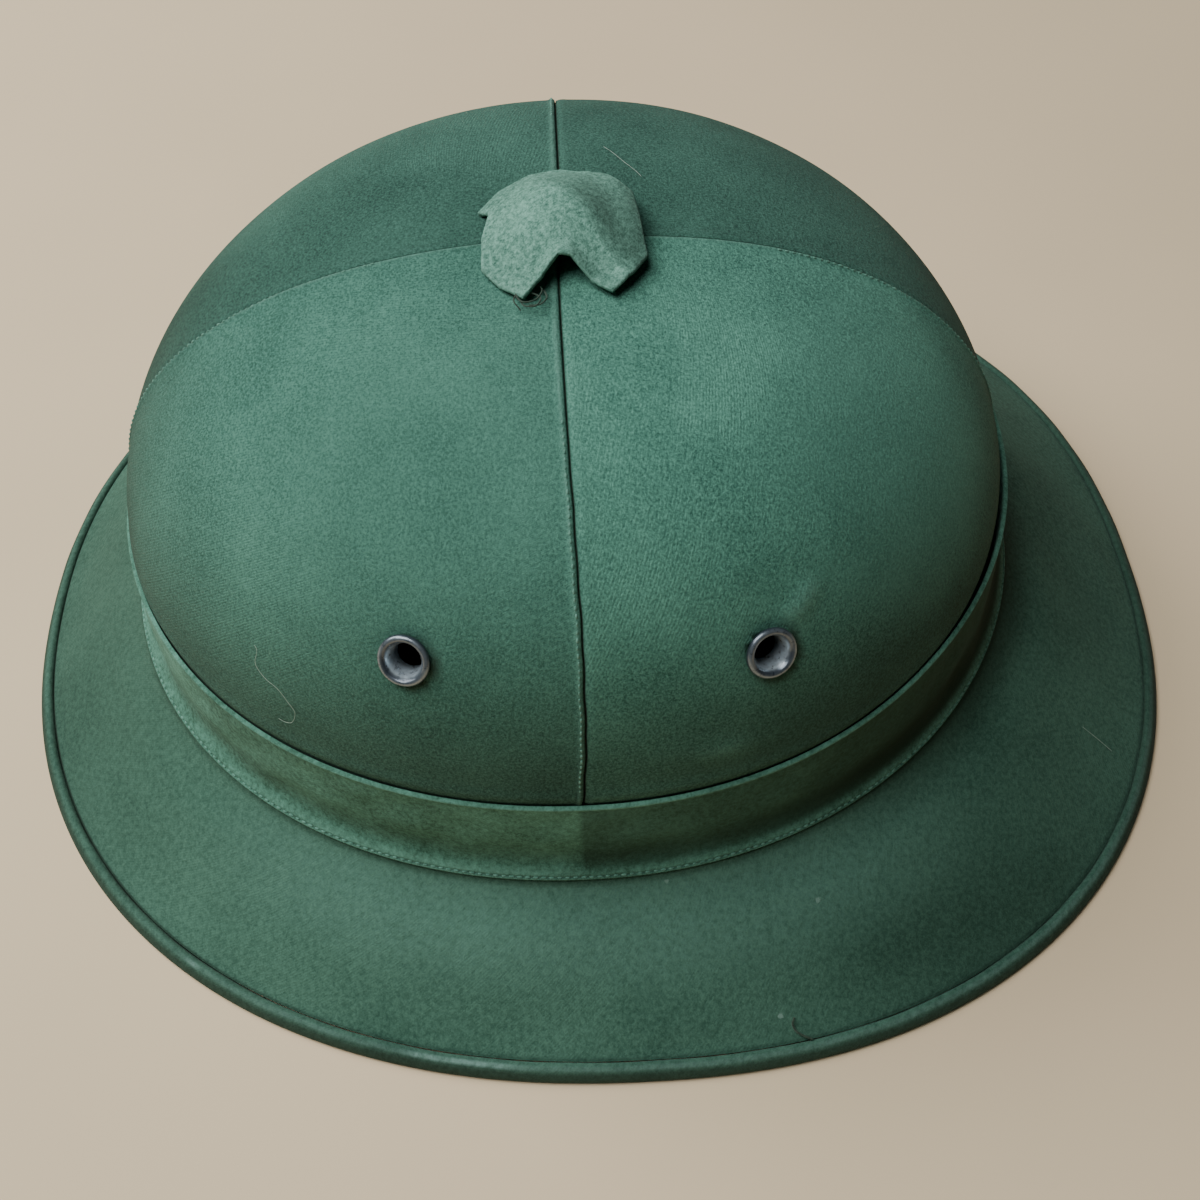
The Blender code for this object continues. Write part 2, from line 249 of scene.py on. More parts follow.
    def outward(self, station: Array, angle: Array) -> Array:
        """Outward direction of the cloth surface at each station and angle."""
        e = 5e-4
        station = np.clip(np.asarray(station, float), e, 7.0 - e)
        down = self.point(station + e, angle) - self.point(station - e, angle)
        normal = np.cross(down, self.point(station, angle + e) - self.point(station, angle - e))
        return normal / np.maximum(np.linalg.norm(normal, axis=-1, keepdims=True), 1e-12)

    def grid(self, station: Array, columns: int) -> tuple[Array, Array, Array, Array]:
        """Rows of points all round the hat.

        Args:
            station: Station of each row.
            columns: Number of points in a row.

        Returns:
            The station, direction, point and outward direction at each place.
        """
        station, angle = np.meshgrid(station, all_round(columns), indexing="ij")
        return station, angle, self.point(station, angle), self.outward(station, angle)

    def side_seam_turn(self, seam: SeamLine, station: Array) -> Array:
        """Angle by which a side seam lies forward of the widest line."""
        turn = np.clip(station, 0.02, 1.0) * QUARTER
        ring = np.sin(turn) ** (2 / self.round_power.side)
        share = np.maximum(np.cos(turn), 0.0) ** (2 / self.rise_power.side)
        lean = seam.at_band * (1 - share) + seam.at_top * share - 4 * seam.bow * share * (1 - share)
        return np.arcsin(np.clip(lean / (self.crown_reach.side * ring), -1.0, 1.0))

    def seams(self, station: Array) -> list[Array]:
        """The four seams in order round the hat, from the left side, and the left side again."""
        shake = self.seam_wobble / self.crown_reach.side
        shake = shake * (np.sin(station * 63) + 0.7 * np.sin(station * 27 + 1)) * smooth(station, 0.15, 0.4)
        left = self.side_seam_turn(self.left_seam, station) + shake
        right = self.side_seam_turn(self.right_seam, station) + shake
        flat = 0.6 * shake
        return [-left, flat + QUARTER, math.pi + right, flat + 3 * QUARTER, FULL - left]


FORM = HatForm()


# Mesh building


def grid_faces(index: Array) -> Array:
    """Faces of a grid of indices, facing outwards where rows run down and columns run round."""
    return np.stack([index[:-1, :-1], index[1:, :-1], index[1:, 1:], index[:-1, 1:]], axis=-1).reshape(-1, 4)


def strip_faces(a: Array, b: Array) -> Array:
    """Faces between two lines of indices."""
    return np.stack([a[:-1], a[1:], b[1:], b[:-1]], axis=-1)


def place_object(name: str, data: Optional[bpy.types.ID]) -> Piece:
    """Object of some data, linked to the scene."""
    obj = bpy.data.objects.new(name, data)
    bpy.context.scene.collection.objects.link(obj)
    return obj


def new_object(name: str, points: Array, faces: Sequence[Sequence[int]]) -> Piece:
    """Smooth shaded object from points and faces."""
    mesh = bpy.data.meshes.new(name)
    mesh.from_pydata(points.tolist(), [], [list(map(int, face)) for face in faces])
    mesh.update()
    mesh.shade_smooth()
    return place_object(name, mesh)


def round_body(name: str, grid: Array, turned: bool = False) -> Piece:
    """Closed object from rings of points, joined all round and from the last ring to the first.

    Args:
        name: Name of the object.
        grid: Points by ring and column.
        turned: Whether the rings run so that the faces have to be turned.

    Returns:
        The object, facing outwards.
    """
    index = np.arange(grid.shape[0] * grid.shape[1]).reshape(grid.shape[:2])
    faces = grid_faces(np.pad(index, (0, 1), mode="wrap"))
    return new_object(name, grid.reshape(-1, 3), faces[:, ::-1] if turned else faces)


def give_attribute(obj: Piece, name: str, values: Array) -> None:
    """Store one number a point on an object's mesh."""
    layer = obj.data.attributes.new(name, "FLOAT", "POINT")
    layer.data.foreach_set("value", np.asarray(values, np.float32).ravel())


def give_uv(obj: Piece, corner_uv: Array) -> None:
    """Store the flat cloth position of each face corner, in metres."""
    layer = obj.data.uv_layers.new(name="cloth")
    layer.data.foreach_set("uv", np.asarray(corner_uv, np.float32).ravel())


def cloth_map(run: Array, down: Array) -> Array:
    """Flat cloth positions of a grid, from the distances along its rows and down its columns."""
    return np.stack(np.meshgrid(run, down, indexing="xy"), axis=-1)


@dataclass
class ClothBody:
    """A closed body of cloth between an outer and an inner grid of points.

    Rows run down and columns run round. The grids are open or a ring, and may end in an apex.
    """

    name: str
    outer: Array
    inner: Array
    ring: bool
    flat: Array
    # The paler share holds rubbing and painted highlight; the darker share holds dirt and painted shade.
    worn: Union[Array, float] = 0.0
    soil_and_shade: Union[Array, float] = 0.0
    apex: Optional[tuple[Array, Array]] = None
    sharp_deg: float = 50.0

    def build(self) -> Piece:
        """Make the mesh object, with its flat cloth map, its paler share of rubbing and painted highlight,
        and its darker share of dirt and painted shade.
        """
        rows, columns = self.outer.shape[:2]
        count = rows * columns
        index = np.arange(count).reshape(rows, columns)
        if self.ring:
            index = np.pad(index, ((0, 0), (0, 1)), mode="wrap")
        spot = np.arange(rows * self.flat.shape[1]).reshape(rows, -1)
        inside = index + count
        faces = [grid_faces(index), grid_faces(inside)[:, ::-1]]
        corners = [grid_faces(spot), grid_faces(spot)[:, ::-1]]
        rims = [] if self.apex else [(np.s_[0], 1)]
        rims.append((np.s_[-1], -1))
        if not self.ring:
            rims += [(np.s_[:, 0], -1), (np.s_[:, -1], 1)]
        for rim, way in rims:
            faces.append(strip_faces(index[rim], inside[rim])[:, ::way])
            corners.append(strip_faces(spot[rim], spot[rim])[:, ::way])
        points = np.concatenate([self.outer.reshape(-1, 3), self.inner.reshape(-1, 3)])
        uv = self.flat.reshape(-1, 2)[np.concatenate(corners)].reshape(-1, 2)
        shapes = np.concatenate(faces).tolist()
        if self.apex:
            points = np.concatenate([points, np.stack(self.apex)])
            top, under = len(points) - 2, len(points) - 1
            pairs = list(zip(index[0][:-1], index[0][1:]))
            shapes += [[top, a, b] for a, b in pairs] + [[under, b + count, a + count] for a, b in pairs]
            uv = np.concatenate([uv, np.repeat(self.flat[:1, 0], 6 * len(pairs), axis=0)])
        obj = new_object(self.name, points, shapes)
        give_uv(obj, uv)
        for label, share in (("worn", self.worn), ("soil_and_shade", self.soil_and_shade)):
            values = np.zeros(len(points))
            values[:count] = np.broadcast_to(np.clip(share, 0, 1), (rows, columns)).ravel()
            give_attribute(obj, label, values)
        obj.data.set_sharp_from_angle(angle=math.radians(self.sharp_deg))
        return obj


def plain_mesh(obj: Piece) -> Piece:
    """Turn an object with modifiers into a plain mesh object of the same name."""
    graph = bpy.context.evaluated_depsgraph_get()
    mesh = bpy.data.meshes.new_from_object(obj.evaluated_get(graph), depsgraph=graph)
    name = obj.name
    bpy.data.objects.remove(obj, do_unlink=True)
    mesh.name = name
    return place_object(name, mesh)


def tube(name: str, paths: Sequence[Array], radius: float) -> Piece:
    """Closed round strands along paths, as one mesh object."""
    curve = bpy.data.curves.new(name, "CURVE")
    curve.dimensions, curve.bevel_depth, curve.bevel_resolution, curve.use_fill_caps = "3D", radius, 2, True
    for path in paths:
        spline = curve.splines.new("POLY")
        spline.points.add(len(path) - 1)
        spline.points.foreach_set("co", np.c_[path, np.ones(len(path))].ravel())
        spline.use_smooth = True
    obj = place_object(name, curve)
    bpy.context.view_layer.update()
    return plain_mesh(obj)


def through(points: Places, steps: int = 8) -> Array:
    """Smooth path through a few points, with some steps between neighbours."""
    p = np.asarray(points, float)
    p = np.concatenate([2 * p[:1] - p[1:2], p, 2 * p[-1:] - p[-2:-1]])
    out = []
    for a, b, c, d in zip(p[:-3], p[1:-2], p[2:-1], p[3:]):
        for t in np.linspace(0, 1, steps, endpoint=False):
            out.append(0.5 * (2 * b + (c - a) * t + (2 * a - 5 * b + 4 * c - d) * t * t
                              + (3 * b - a - 3 * c + d) * t**3))
    out.append(p[-2])
    return np.array(out)


# Node trees


class Wiring:
    """Adds and joins nodes in one node tree."""

    def __init__(self, tree: bpy.types.NodeTree) -> None:
        """Start wiring a tree."""
        self.tree = tree

    def fill(self, node: bpy.types.Node, **inputs: object) -> bpy.types.Node:
        """Set or join inputs of a node.

        Args:
            node: The node.
            inputs: Values or output sockets, by name with _ for a space, or by number as i0.

        Returns:
            The node.
        """
        for key, value in inputs.items():
            is_number = key[0] == "i" and key[1:].isdigit()
            socket = node.inputs[int(key[1:])] if is_number else node.inputs[key.replace("_", " ")]
            if isinstance(value, Socket):
                self.tree.links.new(value, socket)
            else:
                socket.default_value = (*value, 1.0) if socket.type == "RGBA" else value
        return node

    def node(self, kind: str, settings: Optional[dict] = None, **inputs: object) -> bpy.types.Node:
        """Add a node.

        Args:
            kind: Type of the node.
            settings: Properties of the node itself.
            inputs: Its inputs, as fill takes them.

        Returns:
            The node.
        """
        made = self.tree.nodes.new(kind)
        for key, value in (settings or {}).items():
            setattr(made, key, value)
        return self.fill(made, **inputs)

    def maths(self, operation: str, *values: object) -> Socket:
        """Result of a maths node."""
        inputs = {f"i{number}": value for number, value in enumerate(values)}
        return self.node("ShaderNodeMath", {"operation": operation}, **inputs).outputs[0]

    def plus(self, *values: object) -> Socket:
        """Sum of the values."""
        return reduce(lambda a, b: self.maths("ADD", a, b), values)

    def times(self, *values: object) -> Socket:
        """Product of the values."""
        return reduce(lambda a, b: self.maths("MULTIPLY", a, b), values)

    def mix(self, share: object, first: object, second: object) -> Socket:
        """Blend of two colours."""
        settings = {"data_type": "RGBA", "clamp_factor": True}
        return self.node("ShaderNodeMix", settings, i0=share, i6=first, i7=second).outputs[2]

    def noise(self, vector: object, scale: object, detail: float, roughness: float = 0.5,
              distortion: float = 0.0) -> Socket:
        """Value of a noise texture."""
        return self.node("ShaderNodeTexNoise", None, Vector=vector, Scale=scale, Detail=detail,
                         Roughness=roughness, Distortion=distortion).outputs[0]

    def remap(self, value: object, low: float, high: float, to_low: float = 0.0,
              to_high: float = 1.0) -> Socket:
        """Value moved from one range to another, clamped."""
        return self.node("ShaderNodeMapRange", {"clamp": True}, i0=value, i1=low, i2=high, i3=to_low,
                         i4=to_high).outputs[0]

    def share(self, name: str) -> Socket:
        """Share that is stored on the piece's points under a name."""
        return self.node("ShaderNodeAttribute", {"attribute_name": name}).outputs["Fac"]

    def nap(self, height: Socket, strength: float, distance: float) -> Socket:
        """Direction of a surface with fine relief."""
        made = self.node("ShaderNodeBump", None, Strength=strength, Distance=distance, Height=height)
        return made.outputs["Normal"]


def start_group(name: str, kind: str, inputs: dict[str, str], outputs: dict[str, str]) -> tuple[
        Wiring, bpy.types.NodeOutputs, bpy.types.Node]:
    """Start a node group.

    Args:
        name: Name of the group.
        kind: Type of its tree.
        inputs: Kind of socket of each input, by name.
        outputs: Kind of socket of each output, by name.

    Returns:
        Its wiring, its input sockets and its output node.
    """
    tree = bpy.data.node_groups.new(name, kind)
    for way, sockets in (("INPUT", inputs), ("OUTPUT", outputs)):
        for label, socket in sockets.items():
            tree.interface.new_socket(name=label, in_out=way, socket_type="NodeSocket" + socket)
    w = Wiring(tree)
    return w, w.node("NodeGroupInput").outputs, w.node("NodeGroupOutput")


@lru_cache(maxsize=None)
def cloth_grain() -> bpy.types.NodeTree:
    """Felted twill: fibre flecks, a diagonal rib and a soft patchiness.

    Returns:
        The group, which puts out Tone, from 0 for deep to 1 for pale, and Relief, the height of the nap.
    """
    sizes = ("Fleck Scale", "Rib Scale", "Rib Share", "Patch Scale", "Patch Share")
    w, given, end = start_group("cloth_grain", "ShaderNodeTree",
                                {"Place": "Vector", "Flat": "Vector", **dict.fromkeys(sizes, "Float")},
                                {"Tone": "Float", "Relief": "Float"})
    place, rib_share = given["Place"], given["Rib Share"]
    fleck = w.noise(place, given["Fleck Scale"], 5.0, 0.72)
    fine = w.noise(place, w.times(given["Fleck Scale"], 2.7), 2.0, 0.6)
    patch = w.noise(place, given["Patch Scale"], 3.0, 0.55)
    flat = w.node("ShaderNodeSeparateXYZ", None, Vector=given["Flat"]).outputs
    across = w.times(w.plus(flat[0], flat[1]), given["Rib Scale"])
    wander = w.times(w.plus(fleck, -0.5), 2.4)
    rib = w.times(w.maths("SINE", w.plus(across, wander)), w.remap(patch, 0.40, 0.62))
    speck = w.plus(w.remap(fleck, 0.37, 0.63), w.times(w.remap(fine, 0.32, 0.68), 0.5))
    patchy = w.times(w.plus(patch, -0.5), given["Patch Share"], 4.0)
    w.fill(end, Tone=w.plus(w.times(speck, 0.66), w.times(rib, rib_share, 0.5), patchy),
           Relief=w.plus(w.times(speck, 0.7), w.times(rib, rib_share)))
    return w.tree


@lru_cache(maxsize=None)
def broken_patch() -> bpy.types.NodeTree:
    """Broken-edged patch round a place, for stains, spots paler from rubbing and pools of painted light.

    Returns:
        The group, which puts out Share, 1 in the patch and 0 away from it.
    """
    w, given, end = start_group("patch", "ShaderNodeTree", {
        "Place": "Vector", "Centre": "Vector", "Radius": "Float", "Break Scale": "Float", "Break": "Float"},
        {"Share": "Float"})
    away = w.node("ShaderNodeVectorMath", {"operation": "DISTANCE"}, i0=given["Place"], i1=given["Centre"])
    near = w.maths("SUBTRACT", 1.0, w.maths("DIVIDE", away.outputs["Value"], given["Radius"]))
    rough = w.plus(w.noise(given["Place"], given["Break Scale"], 4.0, 0.6), -0.5)
    w.fill(end, Share=w.remap(w.plus(near, w.times(rough, given["Break"], 2.0)), 0.0, 0.5))
    return w.tree


# Finishes


@dataclass(frozen=True)
class Finish:
    """A surface finish, made into one material."""

    name: str

    def inputs(self, w: Wiring, place: Socket) -> dict[str, object]:
        """Inputs of the shader.

        Args:
            w: Wiring of the material.
            place: Place on the piece.

        Returns:
            Values and sockets by the input's name, with _ for a space.
        """
        raise NotImplementedError

    def build(self) -> Material:
        """Make the material."""
        material = bpy.data.materials.new(self.name)
        material.use_nodes = True
        w = Wiring(material.node_tree)
        place = w.node("ShaderNodeTexCoord").outputs["Object"]
        w.fill(material.node_tree.nodes["Principled BSDF"], **self.inputs(w, place))
        return material


@dataclass(frozen=True)
class Patch:
    """A spot of another colour on a cloth: a stain, a place paler from rubbing, and on the crown a pool of
    painted light.
    """

    centre: tuple[float, float, float]
    radius: float
    colour: Colour
    strength: float
    break_scale: float
    ragged: float


@dataclass(frozen=True)
class ClothFinish(Finish):
    """Felted woven cloth, with flecks, a twill rib, edges paler from rubbing, painted highlights, and dirt
    and painted shade in grooves and shaded parts.
    """

    deep: Colour
    pale: Colour
    worn: Colour
    soil_and_shade: Colour
    fleck_scale: float
    rib_share: float
    rib_scale: float = 7000.0
    patch_scale: float = 22.0
    patch_share: float = 0.25
    relief: float = 0.00022
    relief_strength: float = 0.5
    patches: tuple[Patch, ...] = ()

    def light_and_shade_copy(self, name: str, tone: float) -> "ClothFinish":
        """The same cloth under another name, paler as painted light or deeper as painted shade."""
        deep, pale = (tuple(tone * c for c in colour) for colour in (self.deep, self.pale))
        return replace(self, name=name, deep=deep, pale=pale)

    def inputs(self, w: Wiring, place: Socket) -> dict[str, object]:
        """Inputs of the shader, as Finish says."""
        flat = w.node("ShaderNodeUVMap", {"uv_map": "cloth"}).outputs["UV"]
        grain = w.node("ShaderNodeGroup", {"node_tree": cloth_grain()}, Place=place, Flat=flat,
                       Fleck_Scale=self.fleck_scale, Rib_Scale=self.rib_scale, Rib_Share=self.rib_share,
                       Patch_Scale=self.patch_scale, Patch_Share=self.patch_share)
        colour = w.mix(grain.outputs["Tone"], self.deep, self.pale)
        broken = w.remap(w.noise(place, 620.0, 3.0, 0.65), 0.3, 0.62)
        # Paler where the stored share gives rubbing and painted highlight, darker where it gives dirt and
        # painted shade.
        colour = w.mix(w.times(w.share("worn"), w.plus(w.times(broken, 0.7), 0.3)), colour, self.worn)
        colour = w.mix(w.share("soil_and_shade"), colour, self.soil_and_shade)
        for patch in self.patches:
            spot = w.node("ShaderNodeGroup", {"node_tree": broken_patch()}, Place=place, Centre=patch.centre,
                          Radius=patch.radius, Break_Scale=patch.break_scale, Break=patch.ragged)
            colour = w.mix(w.times(spot.outputs["Share"], patch.strength), colour, patch.colour)
        nap = w.nap(grain.outputs["Relief"], self.relief_strength, self.relief)
        return {"Base_Color": colour, "Roughness": 0.92, "Specular_IOR_Level": 0.2, "Sheen_Weight": 0.03,
                "Sheen_Roughness": 0.6, "Normal": nap}


@dataclass(frozen=True)
class TwoToneFinish(Finish):
    """A finish between a dark and a light colour."""

    dark: Colour
    light: Colour


class MetalFinish(TwoToneFinish):
    """Dark plated metal, brighter from rubbing, with a painted reflection in the eyelets' bores."""

    def inputs(self, w: Wiring, place: Socket) -> dict[str, object]:
        """Inputs of the shader, as Finish says."""
        cloudy = w.noise(place, 700.0, 4.0, 0.6)
        share = w.times(w.share("worn"), w.remap(cloudy, 0.3, 0.6, 0.5, 1.0))
        return {"Base_Color": w.mix(share, self.dark, self.light), "Metallic": 0.55,
                "Roughness": w.plus(w.times(w.plus(cloudy, -0.5), 0.25), 0.30), "Coat_Weight": 0.6,
                "Coat_Roughness": 0.16, "Normal": w.nap(w.noise(place, 3200.0, 3.0, 0.7), 0.15, 0.00005)}


class FibreFinish(TwoToneFinish):
    """Pressed plant fibre: short strands and darker specks."""

    def inputs(self, w: Wiring, place: Socket) -> dict[str, object]:
        """Inputs of the shader, as Finish says."""
        strands = w.noise(place, 260.0, 6.0, 0.7, 1.6)
        tone = w.plus(w.times(w.remap(strands, 0.3, 0.7), 0.75), w.times(w.noise(place, 30.0, 3.0), 0.25))
        return {"Base_Color": w.mix(tone, self.dark, self.light), "Roughness": 0.9,
                "Normal": w.nap(strands, 0.5, 0.0004)}


class ThreadFinish(TwoToneFinish):
    """Spun thread or a loose fibre."""

    def inputs(self, w: Wiring, place: Socket) -> dict[str, object]:
        """Inputs of the shader, as Finish says."""
        tone = w.remap(w.noise(place, 900.0, 3.0, 0.6), 0.3, 0.7)
        return {"Base_Color": w.mix(tone, self.dark, self.light), "Roughness": 0.8, "Sheen_Weight": 0.2,
                "Normal": w.nap(w.noise(place, 4000.0, 2.0), 0.3, 0.0001)}


class FloorFinish(TwoToneFinish):
    """Plain pale matt floor."""

    def inputs(self, w: Wiring, place: Socket) -> dict[str, object]:
        """Inputs of the shader, as Finish says."""
        tone = w.remap(w.noise(place, 6.0, 2.0), 0.3, 0.7)
        colour = w.mix(tone, self.dark, self.light)
        return {"Base_Color": colour, "Roughness": 0.95, "Specular_IOR_Level": 0.1}


def nick(centre: tuple[float, float, float], radius: float, strength: float) -> Patch:
    """Pale speck on the brim's cloth."""
    return Patch(centre, radius, (0.22, 0.36, 0.30), strength, 900.0, 1.0)


CROWN_CLOTH = ClothFinish(
    "crown_cloth", deep=(0.014, 0.070, 0.051), pale=(0.133, 0.352, 0.262), worn=(0.170, 0.370, 0.290),
    soil_and_shade=(0.014, 0.030, 0.018), fleck_scale=1550.0, rib_share=0.15, relief_strength=0.85,
    # Both crown patches are painted light: paler pools on the near side of the crown.
    patches=(Patch((0.066, -0.040, 0.118), 0.050, (0.120, 0.305, 0.225), 0.26, 60.0, 0.3),
             Patch((0.050, 0.070, 0.113), 0.045, (0.130, 0.340, 0.255), 0.34, 60.0, 0.3)))
BRIM_CLOTH = ClothFinish(
    "brim_cloth", deep=(0.029, 0.085, 0.058), pale=(0.083, 0.195, 0.137), worn=(0.140, 0.310, 0.240),
    soil_and_shade=(0.010, 0.026, 0.014), fleck_scale=820.0, rib_share=0.12, patch_share=0.3,
    patches=(nick((0.1415, 0.0395, 0.0075), 0.0008, 0.7), nick((0.1170, 0.0510, 0.0205), 0.0008, 0.6),
             nick((0.1125, 0.0130, 0.0260), 0.0007, 0.6)))
BAND_CLOTH = ClothFinish(
    "band_cloth", deep=(0.040, 0.118, 0.076), pale=(0.136, 0.345, 0.258), worn=(0.170, 0.370, 0.285),
    soil_and_shade=(0.010, 0.032, 0.016), fleck_scale=760.0, rib_share=0.12, patch_scale=60.0, patch_share=0.35)
EDGE_CLOTH = ClothFinish(
    "edge_cloth", deep=(0.028, 0.080, 0.056), pale=(0.078, 0.180, 0.130), worn=(0.240, 0.420, 0.365),
    soil_and_shade=(0.014, 0.024, 0.012), fleck_scale=760.0, rib_share=0.12, patch_share=0.3,
    patches=(Patch((0.1035, 0.1340, 0.0040), 0.0016, (0.24, 0.38, 0.33), 0.60, 900.0, 0.8),))
CAP_CLOTH = ClothFinish(
    "cap_cloth", deep=(0.036, 0.118, 0.084), pale=(0.255, 0.550, 0.425), worn=(0.230, 0.430, 0.345),
    soil_and_shade=(0.012, 0.032, 0.022), fleck_scale=900.0, rib_share=0.10, relief=0.0003, relief_strength=0.6)
EYELET_METAL = MetalFinish("eyelet_metal", (0.050, 0.068, 0.088), (0.64, 0.76, 0.84))
MOULDED_FIBRE = FibreFinish("moulded_fibre", (0.20, 0.15, 0.085), (0.42, 0.34, 0.22))
STITCH_THREAD = ThreadFinish("stitch_thread", (0.060, 0.190, 0.135), (0.150, 0.360, 0.275))
DARK_THREAD = ThreadFinish("dark_thread", (0.012, 0.03, 0.018), (0.04, 0.08, 0.05))
PALE_FIBRE = ThreadFinish("pale_fibre", (0.26, 0.38, 0.31), (0.46, 0.58, 0.49))
PALE_FLOOR = FloorFinish("floor", (0.8272, 0.6674, 0.4418), (0.88, 0.71, 0.47))


# Dressing and soft goods


def dress(obj: Piece, material: Material, slot: str, *nodes: str) -> Piece:
    """Give a finished piece its material and its body, and hide the solids that it stands for.

    Args:
        obj: The piece, at the origin.
        material: Its finish.
        slot: Not used.
        nodes: The solids that it stands for.

    Returns:
        The piece.
    """
    obj.data.materials.clear()
    obj.data.materials.append(material)
    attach(obj, BODY)
    if nodes:
        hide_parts(*nodes)
    LOG.info("%s: %d faces", obj.name, len(obj.data.polygons))
    return obj


@dataclass(frozen=True)
class FlatCut:
    """Size of a piece of cloth as it was cut, before it was stretched over the hat."""

    width: float
    length: float
    area: Optional[float] = None

    def declare(self, cloth: Piece, under: Sequence[Piece], sewn_on: Sequence[Piece]) -> None:
        """Does nothing: how the cloth was cut and what it is stretched over are not stored.

        Args:
            cloth: The piece of cloth. Not used.
            under: What it lies on. Not used.
            sewn_on: The pieces on it, such as its stitches. Not used.
        """


FRONT_PANEL_CUT = FlatCut(0.182, 0.170, 0.0196)
REAR_PANEL_CUT = FlatCut(0.178, 0.166, 0.0187)
BRIM_CUT = FlatCut(0.300, 0.325, 0.0460)
BAND_CUT = FlatCut(0.720, 0.034)
CAP_CUT = FlatCut(0.049, 0.040, 0.0015)


# Vents


@dataclass(frozen=True)
class EyeletPlace:
    """Where an eyelet sits on the left side: its direction and its share of the dome's height."""

    name: str
    angle_deg: float
    height_share: float


EYELETS = (EyeletPlace("front", -22.7, 0.501), EyeletPlace("rear", 23.8, 0.455))


def vents() -> dict[str, tuple[Array, Array]]:
    """Point and outward direction of the four eyelets, by the panel that each is in."""
    out = {}
    for place in EYELETS:
        angle = math.radians(place.angle_deg)
        station = FORM.station_at_height(place.height_share, angle)
        for side, mirror in (("left", 1.0), ("right", -1.0)):
            flip = np.array([mirror, 1.0, 1.0])
            point, outward = FORM.point(station, angle), FORM.outward(station, angle)
            out[side + "_" + place.name] = point * flip, outward * flip
    return out


VENTS = vents()
VENT_RADIUS = 0.0050


def cut_vents(obj: Piece, depth: float, names: Sequence[str], sides: int = 48) -> Piece:
    """Cut the round vents through a cloth or shell piece.

    Args:
        obj: The piece to cut.
        depth: Length of the cutters, across the wall.
        names: Which vents to cut.
        sides: Sides of the cutters.

    Returns:
        The cut piece, as a plain mesh.
    """
    cutters = []
    angles = all_round(sides)
    walls = [[i, (i + 1) % sides, sides + (i + 1) % sides, sides + i] for i in range(sides)]
    caps = [list(range(sides - 1, -1, -1)), list(range(sides, 2 * sides))]
    for name in names:
        point, outward = VENTS[name]
        turn = np.array(Vector(outward).to_track_quat("Z", "Y").to_matrix())
        ring = VENT_RADIUS * np.stack([np.cos(angles), np.sin(angles), 0 * angles], axis=-1) @ turn.T
        ends = np.concatenate([point + ring - outward * depth / 2, point + ring + outward * depth / 2])
        cutter = new_object("vent_cutter_" + name, ends, walls + caps)
        cut = obj.modifiers.new("vent_" + name, "BOOLEAN")
        cut.operation, cut.solver, cut.object = "DIFFERENCE", "EXACT", cutter
        cutters.append(cutter)
    bpy.context.view_layer.update()
    made = plain_mesh(obj)
    for cutter in cutters:
        bpy.data.objects.remove(cutter, do_unlink=True)
    return made


@dataclass
class VentEyelets:
    """Rolled metal eyelets in the crown, turned from a section of radius and height in millimetres."""

    steps: int = 72
    section: Places = (
        (4.75, 0.10), (5.60, 0.12), (6.00, 0.20), (6.16, 0.50), (6.13, 0.88), (5.95, 1.24), (5.64, 1.50),
        (5.26, 1.60), (4.92, 1.52), (4.62, 1.26), (4.34, 0.88), (4.08, 0.40), (3.84, -0.15), (3.64, -0.75),
        (3.50, -1.45), (3.44, -2.30), (3.44, -4.80), (4.00, -5.20), (5.40, -5.25), (5.70, -4.95),
        (5.60, -4.55), (4.80, -4.50), (4.70, -3.90), (4.70, -2.00))

    def build(self, material: Material) -> None:
        """Make and dress the four eyelets."""
        radius, height = (np.array(self.section) * MM).T
        turn = all_round(self.steps)
        local = np.stack([radius[:, None] * np.cos(turn), radius[:, None] * np.sin(turn),
                          np.broadcast_to(height[:, None], (len(height), self.steps))], axis=-1)
        # The rim's crest is paler from rubbing; the bore is painted pale as a painted reflection of the
        # light.
        rim = 0.30 * bump(radius, 0.0055, 0.0006) * (height > 0.001)
        barrel_reflection = 0.95 * (1 - smooth(radius, 0.0040, 0.0045))
        for name, (point, outward) in VENTS.items():
            rotate = np.array(Vector(outward).to_track_quat("Z", "Y").to_matrix())
            obj = round_body("eyelet_" + name, local @ rotate.T + point, turned=True)
            give_attribute(obj, "worn", np.repeat(rim + barrel_reflection, self.steps))
            dress(obj, material, "eyelet_metal", "vent_eyelet_" + name)


# Stitches


